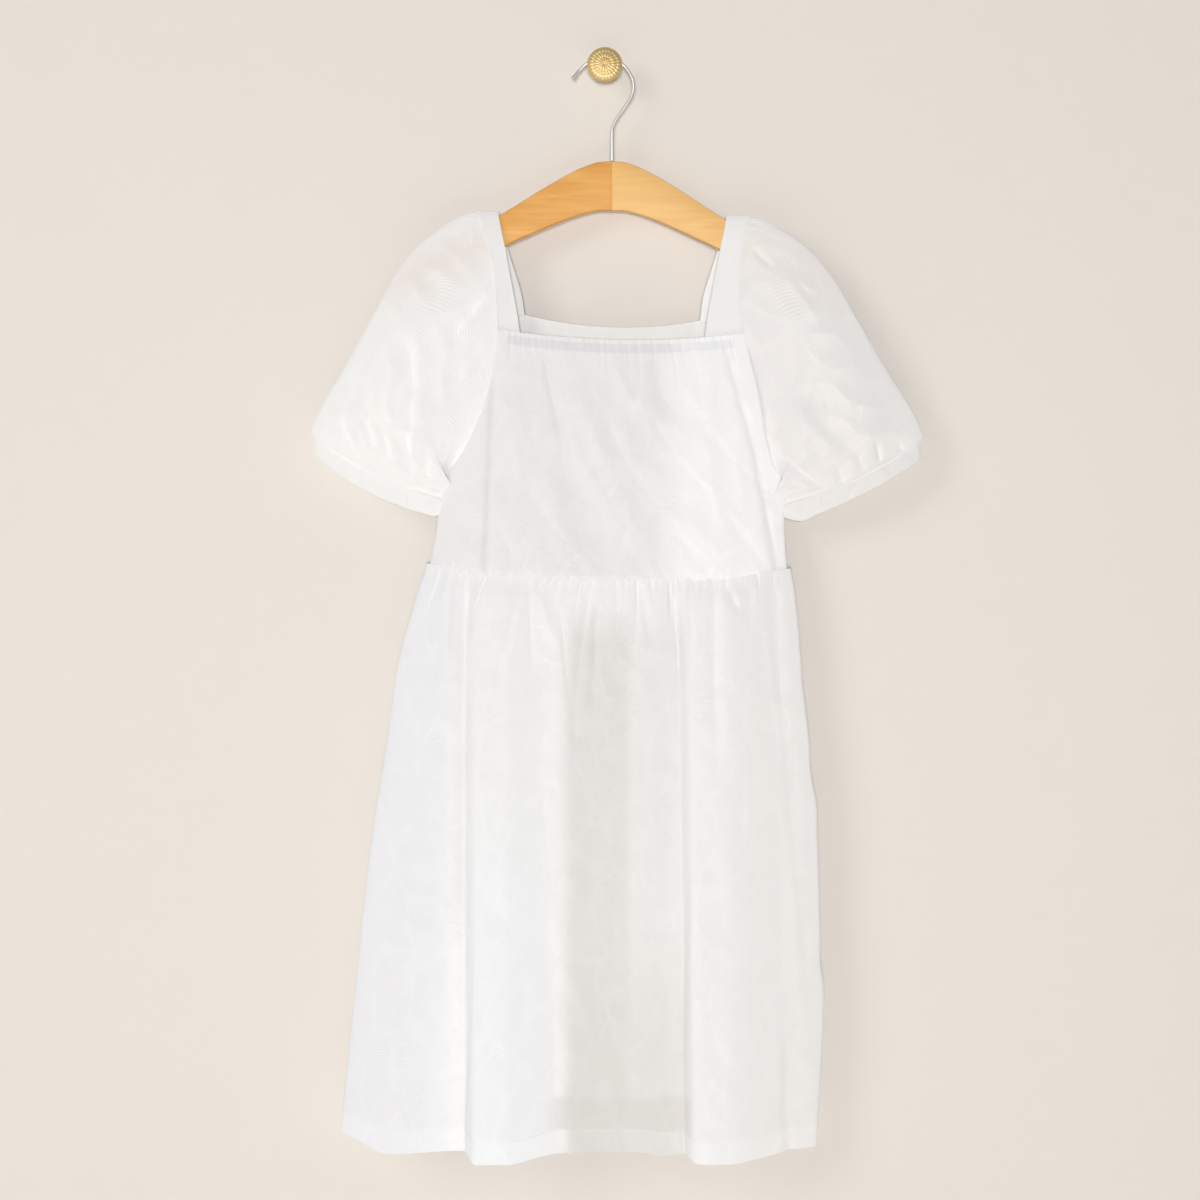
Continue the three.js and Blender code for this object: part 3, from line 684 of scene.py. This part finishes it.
topShape = {
    "cols": 320, "rows": 190, "cloth": (0.34, 0.22),
    "backCols": 140, "backRows": 90, "backCloth": (0.33, 0.24),
    "neck": {"front": 241.0, "back": 218.0}, "square": 3, "clear": 0.6, "waver": 0.5, "waistPull": 0.7,
    "waistWave": 0.9, "rumpleSpan": 55, "rumple": 0.8,
    "gathers": {
        "count": 40, "span": (0.05, 0.95), "wide": (0.0045, 0.0075),
        "deep": (0.5, 1.9), "long": (0.05, 0.3),
    },
    "foot": {
        "count": 54, "span": (0.03, 0.97), "wide": (0.003, 0.007), "deep": (0.4, 1.7), "long": (0.02, 0.09),
    },
    "tape": (4.5, 11.5), "tapeAcross": (0.045, 0.955), "tapeRows": 6, "tapeCols": 200, "tapeInset": 1.0,
    "tapeCloth": (0.2, 0.007), "tapeShade": (0.085, 0.085, 0.06),  # the elastic shows through the hem
    "sewnRow": 13, "sewnFrom": 16, "backSewnRows": (1, 4), "backSewnFrom": 14,
    "casing": (0.015, 0.022, 0.052, 0.06), "casingAcross": (0.046, 0.05, 0.95, 0.954),
    "brighter": 0.06, "leftShade": (0.105, 0.12, 0.115), "leftSpan": (30, 75),
    "neckTint": (1.1, 1.075, 1.055), "backTint": 0.99, "neckSpan": (0.1, 0.22),
    "frontCreases": [  # from x and drop to x and drop, width, depth, any steep side
        (-107, 262, -117, 486, 4, 2.2),
        (-93, 258, -102, 486, 20, -3.6),
        (98, 250, 127, 352, 4, 1.8),
        (122, 328, 153, 486, 4, 2.2),
        (78, 300, 88, 480, 22, -3),
        (-63, 262, -46, 340, 7, 2.8, -0.2),
        (-50, 345, -10, 451, 13, 3),
        (-34, 290, 26, 436, 9, -2.5),
        (-6, 285, 10, 332, 9, 2),
        (38, 264, 50, 322, 9, 3),
        (0, 262, 21, 315, 4.5, -1.8),
        (40, 260, 22, 315, 4.5, -1.8),
        (75, 320, 33, 401, 9, -2.2),
        (90, 262, 84, 330, 7, -1.6),
        (-84, 300, -78, 400, 9, -1.6),
        (60, 400, 70, 455, 14, -1.5),
    ],
    "backCreases": [
        (-70, 262, -104, 440, 8, 3),
        (84, 262, 116, 440, 8, 3),
        (-30, 300, -12, 450, 12, 2.5),
        (46, 290, 30, 440, 12, -2.5),
    ],
    "shadeLines": [  # painted shade lines: from x and drop to x and drop, width, depth
        (-107, 262, -117, 500, 3, 0.10),
        (98, 246, 127, 360, 3, 0.09),
        (122, 328, 153, 500, 3.5, 0.11),
        (-62, 258, -46, 345, 5, 0.04),
        (-52, 345, -12, 470, 12, 0.03),
        (34, 262, 48, 330, 8, 0.03),
    ],
}


# v is the share of the way from neck to waist.
def bodiceSurface(name, facing, cols, rowsV, across=(0, 1), inset=0.0):
    u = np.linspace(across[0], across[1], cols)
    sides = ramp(0, 0.06, u * (1 - u))
    bow = 1 - (2 * u - 1) ** 2
    neckDip, footDip = (frontDip, waistDip) if facing > 0 else (backDip, 0)
    gathers = pleats(5, **topShape["gathers"])
    foot = pleats(6, **topShape["foot"])
    out = []
    for v in rowsV:
        drop = mix(topShape["neck"][name], waist, v)
        left, right, edgeY = read(edge, drop, "left right " + name)
        x, y = halfLoop(left, right, edgeY, *read(bodice, drop, name), topShape["square"])[:2]
        px, py, nx, ny = alongLoop(x, y, u, facing)
        rise = topShape["waver"] * wander(u * 2 - v, 6, 5) * sides * ramp(0.1, 0.4, v) - inset
        if facing > 0:
            gathered = pleatDepth(gathers, u, v) + pleatDepth(foot, u, 1 - v)
            rise = rise + (topShape["clear"] - gathered) * sides
            rise = rise - topShape["waistPull"] * ramp(0.97, 1, v)
        dip = mix(neckDip, footDip, v) * bow
        dip = dip + topShape["waistWave"] * wander(u, 4, 23) * ramp(0.93, 1, v)
        out.append(hang(px + nx * rise, py + ny * rise, drop + dip))
    weight = sides * ramp(0.08, 0.2, rowsV)[:, None]
    depth = topShape["rumple"] * facing
    out = rumpled(np.array(out), 51 + facing, topShape["rumpleSpan"], depth, weight)
    return pressed(out, topShape[name + "Creases"], sides, facing)


frontRows = np.linspace(0, 1, topShape["rows"])
points = bodiceSurface("front", 1, topShape["cols"], frontRows)
casing = between(frontRows, *topShape["casing"])[:, None]
casing = casing * between(np.linspace(0, 1, topShape["cols"]), *topShape["casingAcross"])
tint = 1 - casing[..., None] * np.array(topShape["tapeShade"])
# painted shade lines along the bodice's creases
tint = tint * shaded(points, topShape["shadeLines"])[..., None] + topShape["brighter"]
leftPart = 1 - ramp(*topShape["leftSpan"], points[..., 0])
tint = tint - leftPart[..., None] * np.array(topShape["leftShade"])
front = clothPiece("bodiceFront", points, topShape["cloth"], tint=tint)
setUp(front, "bodice_front", jacquard)
sewn(points, topShape["sewnRow"], 1, topShape["sewnFrom"])

backRows = np.linspace(0, 1, topShape["backRows"])
points = bodiceSurface("back", -1, topShape["backCols"], backRows)
for row in topShape["backSewnRows"]:
    sewn(points, row, -1, topShape["backSewnFrom"])
# painted light: the back's top band is brighter, standing for light through the cloth where it lies in the
# front's shade
belowNeck = ramp(*topShape["neckSpan"], backRows)[:, None, None]
tint = mix(np.array(topShape["neckTint"]), topShape["backTint"], belowNeck)
back = clothPiece("bodiceBack", points, topShape["backCloth"], tint=tint, flip=True)
setUp(back, "bodice_back", jacquard)

tapeTop, tapeFoot = (down / (waist - topShape["neck"]["front"]) for down in topShape["tape"])
tapeRows = np.linspace(tapeTop, tapeFoot, topShape["tapeRows"])
points = bodiceSurface("front", 1, topShape["tapeCols"], tapeRows, topShape["tapeAcross"],
                       topShape["tapeInset"])
tape = clothPiece("neckElastic", points, topShape["tapeCloth"])
setUp(tape, "neck_elastic", elasticCloth)
print("bodice made")

# Sleeves, cuffs and straps: what differs by side is under -1 for left and 1 for right

puffShape = {
    "cols": 300, "rows": 150, "cloth": (0.46, 0.24), "middleY": -38.0, "round": 0.86,
    "reach": {-1: 0.985, 1: 1.05},
    "seamIn": 1.6, "seamClear": 0.9, "flatter": 0.35, "outerEnd": 4, "rumpleSpan": 48, "rumple": 1.3,
    "innerPull": {-1: [17, 15, 13, 11], 1: [15, 11, 6, 1]},
    "lapAt": 0.14, "lapClear": 0.7, "endClear": 0.8,  # the last row laps the cuff
    # painted light on the left sleeve, and painted warm shade on the right sleeve
    "tone": {-1: (1.03, 1.02, 1.01), 1: (0.97, 0.945, 0.935)},
    "woodTint": {-1: (0.03, 0.085, 0.11), 1: (-0.01, 0.01, 0.03)},  # the hanger's end shows through
    "woodX": 102, "woodDrop": 153, "woodLong": 82, "woodSlope": 0.52, "woodWide": 22,
    "cap": {
        "count": 15, "span": (-0.17, 0.2), "wide": (0.006, 0.013), "deep": (2.2, 5.2), "long": (0.2, 0.6),
    },
    "foot": {
        "count": 34, "span": (0.0, 1.0), "wide": (0.005, 0.011), "deep": (1.4, 4.0), "long": (0.10, 0.4),
    },
    "folds": [  # angle at the cap and cuff, width in degrees, depth
        (28, 40, 11, 3.2),
        (62, 70, 12, -4.5),
        (96, 98, 12, 4),
        (128, 120, 13, -3.6),
        (240, 236, 16, -3.5),
        (295, 300, 16, 3),
    ],
    "creases": {  # from x and drop to x and drop, width, depth, any steep side
        -1: [
            (-103, 207, -140, 260, 6, -2.6),
            (-113, 211, -150, 255, 5, 4.1),
            (-178, 262, -178, 385, 5, 3.4),
            (-170, 262, -170, 385, 8, -1.5),
            (-242, 317, -226, 352, 4, 4.1),
            (-221, 319, -211, 350, 4, 3.4),
            (-205, 328, -195, 362, 4, 3.4),
            (-183, 333, -180, 355, 4, 4.1),
            (-165, 345, -166, 376, 5, 3.4),
        ],
        1: [
            (128, 168, 144, 186, 3.5, 4.1),
            (122, 250, 138, 317, 6, 5.4),
            (138, 294, 146, 341, 8, 5.4),
            (138, 341, 190, 384, 5, 6.8),
            (146, 302, 220, 368, 8, -4.1),
            (234, 340, 238, 360, 3.5, 3.4),
            (255, 340, 261, 360, 3.5, 3.4),
            (200, 360, 206, 378, 3.5, 3.4),
            (218, 348, 222, 368, 4, 2.7),
            (150, 190, 186, 236, 5, -2.7),
        ],
    },
}
cuffShape = {
    "cols": 161, "rows": 12, "thick": 0.8, "clear": 0.3, "wave": 0.7, "tone": 0.98, "stitchRows": (1, 10),
    "innerRise": {-1: 4, 1: 3}, "sag": {-1: 3.2, 1: 0.5},
    "puckers": {"count": 30, "span": (0, 1), "wide": (0.004, 0.01), "deep": (0.2, 1.0), "long": (1.2, 2.5)},
}
strapShape = {
    "cols": 160, "rows": 16, "cloth": (0.22, 0.022), "thick": 1.2,
    "frontLap": 5, "backLap": 4, "under": 1.6,
    # painted shade on the left strap, and painted light on the back half, which lies in the front's shade
    "tone": {-1: (0.97, 0.955, 0.945), 1: (1, 0.985, 0.975)}, "backTone": 1.08,
}


# The angle goes from the top over the front; along is the share from the seam to the end.
def tubeSurface(shape, side, angle, along):
    c, s = np.cos(angle), np.sin(angle)
    topX, footX, topDrop, footDrop = read(shape, along, "topX footX topDrop footDrop")
    front, back, sag = read(shape, along, "front back sag")
    topX = mix(shoulderX, topX, puffShape["reach"][side])
    swell = np.where(s > 0, front, back) * np.abs(s) ** puffShape["round"]
    x, drop = mix(topX, footX, (1 - c) / 2), mix(topDrop, footDrop, (1 - c) / 2) + sag * s * s
    return hang(side * x, puffShape["middleY"] - np.sign(s) * swell, drop)


def innerPull(side, v):  # how far the cuff's inner end lies in toward the bodice
    return np.interp(v, [0, 0.5, 0.8, 1], puffShape["innerPull"][side])


def cuffRing(side, angle, rowsV):
    c, s = np.cos(angle), np.sin(angle)
    outerPart, innerPart = ramp(0.7, 1, c), ramp(0.2, 1, -c)
    innerEnd = bell((angle - math.pi) / 0.35)
    ring = []
    for v in rowsV:
        row = tubeSurface(cuff, side, angle, v)
        row[:, 0] += side * (puffShape["outerEnd"] * (1 - v) * outerPart - innerPull(side, v) * innerPart)
        row[:, 2] += cuffShape["innerRise"][side] * v * v * innerEnd
        row[:, 2] -= cuffShape["sag"][side] * v * s ** 2 * (1 + 0.5 * c)
        ring.append(row)
    return np.array(ring)


def sleeveSurface(side, sideEdge, cols, rowsV):
    u = np.linspace(0, 1, cols)
    angle = 2 * math.pi * u
    c, s = np.cos(angle), np.sin(angle)
    flank = ramp(0.2, 0.9, np.abs(s))
    fromTop = np.where(u > 0.6, u - 1, u)
    seamDrop = mix(shoulder, underarm, (1 - c) / 2)
    seamX = side * (sideEdge(seamDrop) - puffShape["seamIn"])
    seamY = np.where(s > 0, edge["front"](seamDrop), edge["back"](seamDrop))
    seam = hang(seamX, seamY - puffShape["seamClear"] * np.sign(s), seamDrop)
    capPleats = pleats(20 + side, **puffShape["cap"])
    footPleats = pleats(24 + side, **puffShape["foot"])
    out = []
    for along in rowsV:
        tube = tubeSurface(sleeve, side, angle, along)
        eased = ramp(0, 0.9, -c) * between(along, 0.3, 0.7, 0.95, 1)  # flatter by the arm's inner seam
        tube[:, 1] = mix(tube[:, 1], puffShape["middleY"], puffShape["flatter"] * eased)
        tube[:, 0] += side * puffShape["outerEnd"] * ramp(0.88, 1, along) * ramp(0.7, 1, c)
        innerPart = ramp(mix(0.6, 0.2, along), 1, -c)
        tube[:, 0] -= side * innerPull(side, 0) * ramp(0.05, 0.5, along) * innerPart
        point = mix(seam, tube, ramp(0, 0.3, along))
        ends = between(along, 0.05, 0.3, 0.75, 1)
        rise = 0
        for capAngle, cuffAngle, width, depth in puffShape["folds"]:
            rise = rise - depth * ends * bell((360 * u - mix(capAngle, cuffAngle, along)) / width)
        rise = rise - pleatDepth(capPleats, fromTop, along) * ramp(0, 0.05, along)
        rise = rise - pleatDepth(footPleats, u, 1 - along) * (1 - ramp(0.85, 0.97, along)) * flank
        top, foot = tubeSurface(sleeve, side, np.array([0, math.pi]), along)
        away = point - mix(top, foot, 0.5)
        away[:, 0] = 0
        away = away / np.maximum(np.linalg.norm(away, axis=1, keepdims=True), 1e-6)
        out.append(point + away * rise[:, None])
    out[-1][:, 1] -= puffShape["endClear"] * s
    lapped = cuffRing(side, angle, [puffShape["lapAt"]])[0]
    lapped[:, 1] -= puffShape["lapClear"] * s
    out.append(lapped)
    rowsV = np.append(rowsV, 1)[:, None]
    ending = 1 - ramp(0.9, 1, rowsV)
    weight = np.sign(s) * flank * ramp(0.04, 0.2, rowsV) * ending
    out = rumpled(np.array(out), 61 + side, puffShape["rumpleSpan"], puffShape["rumple"], weight)
    return pressed(out, puffShape["creases"][side], ramp(0.2, 0.9, s) * ending)


def sleevePiece(name, side, sideEdge):
    rowsV = np.linspace(0, 1, puffShape["rows"])
    points = sleeveSurface(side, sideEdge, puffShape["cols"], rowsV)
    ax, ad = points[..., 0] * side - puffShape["woodX"], -points[..., 2] - puffShape["woodDrop"]
    away = np.hypot(ad - puffShape["woodSlope"] * ax, np.maximum(ax - puffShape["woodLong"], 0))
    wood = bell(away / puffShape["woodWide"]) * ramp(0, 0.03, np.append(rowsV, 1))[:, None]
    # painted light and shade from the sleeve's tone; the hanger's end shows through at the cap
    tint = np.array(puffShape["tone"][side]) - wood[..., None] * np.array(puffShape["woodTint"][side])
    return clothPiece("sleeve" + name.title(), points, puffShape["cloth"], tint, side > 0, closed=True)


def cuffPiece(name, side):
    u, rowsV = np.linspace(0, 1, cuffShape["cols"]), np.linspace(0, 1, cuffShape["rows"])
    angle = 2 * math.pi * u
    ring = cuffRing(side, angle, rowsV)
    puckers = pleats(71 + side, **cuffShape["puckers"])
    for v, row in zip(rowsV, ring):
        row[:, 1] += np.sin(angle) * (cuffShape["clear"] + pleatDepth(puckers, u, v))
        row[:, 2] -= cuffShape["wave"] * wander(u * 3, 5 + side, 2.5) * v
    for row in cuffShape["stitchRows"]:
        sewn(ring, row, side)
    # the cuff takes its sleeve's painted light and shade
    tint = cuffShape["tone"] * np.array(puffShape["tone"][side])
    band = clothPiece("cuff" + name.title(), ring, (0.26, 0.014), tint, flip=side > 0, closed=True)
    return thicken(band, cuffShape["thick"])


def strapPiece(name, side, sideEdge):
    along = np.linspace(0, 10, strapShape["cols"])
    drop = strap["drop"](along) + strapShape["frontLap"] * (1 - ramp(0, 0.4, along))
    drop = drop + strapShape["backLap"] * ramp(9.6, 10, along)
    y = strap["y"](along) + strapShape["under"] * (1 - ramp(0, 0.5, along))
    dip = frontDip * (1 - ramp(0, 1, along)) + backDip * ramp(9, 10, along)
    outer = sideEdge(drop)
    rows = []
    for u in np.linspace(0, 1, strapShape["rows"]):
        out = mix(strap["inner"](along), outer, u)
        rows.append(hang(side * out, y, drop + dip * (1 - (out / outer) ** 2)))
    # painted shade on the left strap, painted light on its back half
    tint = mix(np.array(strapShape["tone"][side]), strapShape["backTone"], ramp(5, 6.5, along)[:, None])
    band = clothPiece("strap" + name.title(), np.array(rows), strapShape["cloth"], tint, flip=side < 0)
    return thicken(band, strapShape["thick"])


for name, side in (("left", -1), ("right", 1)):
    puff = setUp(sleevePiece(name, side, edge[name]), "sleeve_" + name, sleeveCloth)
    band = setUp(cuffPiece(name, side), "cuff_" + name, bandCloth)
    shoulderBand = setUp(strapPiece(name, side, edge[name]), "strap_" + name, bandCloth)
print("sleeves, cuffs and straps made")

# Sewing

stitchShape = {"pitch": 3.1, "long": 2.1, "wide": 0.4, "high": 0.3, "endGap": 2}


def pointAt(rows, length, at):
    return np.array([np.interp(at, length, rows[:, i]) for i in range(3)])


bm = bmesh.new()
for line, out in stitchRows:
    length = np.concatenate([[0], np.cumsum(np.linalg.norm(np.diff(line, axis=0), axis=1))])
    for at in np.arange(stitchShape["endGap"], length[-1] - stitchShape["endGap"], stitchShape["pitch"]):
        start, end = pointAt(line, length, at - 0.5), pointAt(line, length, at + 0.5)
        way = (end - start) / np.linalg.norm(end - start)
        up = pointAt(out, length, at)
        beside = np.cross(up, way)
        for vert in bmesh.ops.create_cube(bm, size=1)["verts"]:
            x, y, z = vert.co
            spot = (start + end) / 2 + way * x * stitchShape["long"] + beside * y * stitchShape["wide"]
            vert.co = place(*(spot + up * z * stitchShape["high"]))
setUp(newPiece("stitches", bm), None, stitchThread)
print("sewing made")

# Hanger, hook and knob

hangerShape = {
    "joint": 1.8, "rounded": 0.45,  # the arms close up at the joint; edges sharper than this stay sharp
    "left": {"light": (0.86, 0.455, 0.118, 1), "dark": (0.73, 0.33, 0.066, 1), "tilt": -0.42},
    "right": {"light": (0.87, 0.53, 0.195, 1), "dark": (0.80, 0.445, 0.135, 1), "tilt": 0.42},
}
for name in ("left", "right"):
    bm = bmesh.new()
    bm.from_mesh(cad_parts["hanger_arm_" + name].data)
    for vert in bm.verts:
        if abs(vert.co.x - hangerX * millimetre) < hangerShape["joint"] * millimetre:
            vert.co.x = hangerX * millimetre
    bmesh.ops.remove_doubles(bm, verts=bm.verts, dist=1e-5)
    bmesh.ops.dissolve_limit(bm, angle_limit=0.01, verts=bm.verts, edges=bm.edges)
    for face in bm.faces:
        face.smooth = True
    for line in bm.edges:
        line.smooth = line.calc_face_angle(0) < hangerShape["rounded"]
    wood = woodMaterial("wood" + name.title(), **hangerShape[name])
    setUp(newPiece("hangerArm" + name.title(), bm), "hanger_arm_" + name, wood)
print("hanger made")

hookShape = {
    "wire": 1.65, "pinFoot": 59, "bent": 0.86, "tip": 1.25,  # thinner in the bend, fuller at the tip
    "line": [  # across and drop
        (0, 84.9), (0, 59.5), (0.9, 54), (5, 45.4), (12, 35.6), (17.8, 25.4), (19.3, 15.5), (16, 6),
        (8.8, -2.5), (-1.5, -7.3), (-12, -7.6), (-22, -3.6), (-29.5, 3.2), (-35.5, 10.8),
    ],
}
wire = bpy.data.curves.new("hangerHook", "CURVE")
wire.dimensions = "3D"
wire.bevel_depth = hookShape["wire"] * millimetre
wire.bevel_resolution = 6
wire.resolution_u = 16
wire.use_fill_caps = True
path = wire.splines.new("BEZIER")
path.bezier_points.add(len(hookShape["line"]) - 1)
for point, (across, drop) in zip(path.bezier_points, hookShape["line"]):
    point.co = place(across, hangerY, -drop)
    point.handle_left_type = point.handle_right_type = "AUTO"
    point.radius = 1.0 if drop > hookShape["pinFoot"] else hookShape["bent"]
path.bezier_points[-1].radius = hookShape["tip"]
path.bezier_points[0].handle_right_type = path.bezier_points[1].handle_left_type = "VECTOR"
hook = bpy.data.objects.new("hangerHook", wire)
setUp(hook, "hanger_hook", plainMaterial("wireMetal", (0.82, 0.83, 0.83, 1), 0.34, 0.85))

knobShape = {
    "headR": 15.9, "headMiddle": 35.2, "frontBulge": 4.9, "backBulge": 3.6,
    "petals": (26, 20, 12), "ringStep": 0.3, "relief": 0.6,  # rings of petals from the rim in
    "neckBackR": 6.4, "neckFrontR": 5.7, "neckLong": 32,
}


def petalHeight(r, turn):
    swell = 0
    for ring, count in enumerate(knobShape["petals"]):
        outerR, innerR = 0.98 - knobShape["ringStep"] * ring, 0.62 - knobShape["ringStep"] * ring
        inRing = float(between(r, innerR, innerR + 0.16, outerR - 0.06, outerR))
        swell = max(swell, inRing * abs(math.cos(turn * count / 2 + ring * 0.8)) ** 0.7)
    return knobShape["relief"] * swell


bm = bmesh.new()
bmesh.ops.create_uvsphere(bm, u_segments=192, v_segments=64, radius=1)
for vert in bm.verts:
    r, turn, depth = math.hypot(vert.co.x, vert.co.y), math.atan2(vert.co.y, vert.co.x), vert.co.z
    out = knobShape["headMiddle"] + knobShape["frontBulge" if depth > 0 else "backBulge"] * depth
    if depth > 0:
        out += petalHeight(r, turn)
    size = r * knobShape["headR"]
    vert.co = (size * math.cos(turn) * millimetre, -out * millimetre, size * math.sin(turn) * millimetre)
neckLong = knobShape["neckLong"] * millimetre
neck = bmesh.ops.create_cone(bm, cap_ends=True, segments=48, radius1=knobShape["neckBackR"] * millimetre,
                             radius2=knobShape["neckFrontR"] * millimetre, depth=neckLong)["verts"]
for vert in neck:
    x, y, z = vert.co
    vert.co = (x, -(z + neckLong / 2), y)
bmesh.ops.recalc_face_normals(bm, faces=bm.faces)
for face in bm.faces:
    face.smooth = len(face.verts) < 5
setUp(newPiece("wallKnob", bm), "wall_knob", plainMaterial("knobMetal", (0.77, 0.57, 0.265, 1), 0.5, 0.6))
print("hook and knob made")

# Stage, light and camera

stageShape = {
    "wide": 6.0, "wall": (0.785, 0.735, 0.68, 1), "wallY": 0.003, "wallMiddle": -0.5, "floor": -1.9,
    "floorPaint": (0.72, 0.69, 0.65, 1), "rough": 0.9,
}
bm = bmesh.new()
bmesh.ops.create_grid(bm, x_segments=1, y_segments=1, size=stageShape["wide"] / 2)
for vert in bm.verts:
    vert.co = (vert.co.x, stageShape["wallY"], vert.co.y + stageShape["wallMiddle"])
bmesh.ops.reverse_faces(bm, faces=[f for f in bm.faces if f.normal.y > 0])
wallPiece = newPiece("wall", bm)
wallPaint, tree = newMaterial("wallPaint")  # clear from behind
paint = node(tree, "ShaderNodeBsdfPrincipled", Roughness=stageShape["rough"],
             **{"Base Color": stageShape["wall"]})
clear = node(tree, "ShaderNodeBsdfTransparent")
either = node(tree, "ShaderNodeMixShader")
side = node(tree, "ShaderNodeNewGeometry").outputs["Backfacing"]
for socket, source in zip(either.inputs, (side, paint.outputs[0], clear.outputs[0])):
    tree.links.new(source, socket)
shown(tree, either)
wallPiece.data.materials.append(wallPaint)
wallPiece.visible_shadow = False  # lets the light behind it through
scene.collection.objects.link(wallPiece)
bm = bmesh.new()
bmesh.ops.create_grid(bm, x_segments=1, y_segments=1, size=stageShape["wide"])
for vert in bm.verts:
    vert.co.z = stageShape["floor"]
floorPiece = newPiece("floor", bm)
floorPiece.data.materials.append(plainMaterial("floorPaint", stageShape["floorPaint"], stageShape["rough"]))
scene.collection.objects.link(floorPiece)


def lamp(name, at, target, wide, power, colour=(1, 1, 1), bounces=1024):
    data = bpy.data.lights.new(name, "AREA")
    data.shape = "RECTANGLE"
    data.size = data.size_y = wide
    data.energy = power
    data.color = colour
    data.cycles.max_bounces = bounces
    made = bpy.data.objects.new(name, data)
    made.location = at
    made.rotation_euler = (Vector(target) - Vector(at)).to_track_quat("-Z", "Y").to_euler()
    scene.collection.objects.link(made)


lamp("keyLight", (-3.0, -4.0, 0.9), (0, 0, -0.45), 2.0, 47, (1, 0.99, 0.975))
lamp("frontLight", (-0.03, -4.4, -0.66), (0, 0, -0.5), 0.5, 124)
# for views from behind: with no bounces it leaves no glow on the wall
lamp("backLight", (0.9, 3.8, 0.3), (0, 0, -0.5), 2.4, 95, bounces=0)
world = bpy.data.worlds.new("room")
world.use_nodes = True
sky = world.node_tree.nodes["Background"]
sky.inputs["Color"].default_value = (1, 1, 1, 1)
sky.inputs["Strength"].default_value = 0.12
scene.world = world

eye = bpy.data.cameras.new("camera")
eye.sensor_width = 36
eye.lens = 36 * 2206 / 1080
camera = bpy.data.objects.new("camera", eye)
camera.location = (-0.0043, -2.24, -0.4815)
camera.rotation_euler = (math.pi / 2, 0, 0)
scene.collection.objects.link(camera)
scene.camera = camera
scene.view_settings.view_transform = "Standard"
print("stage made")
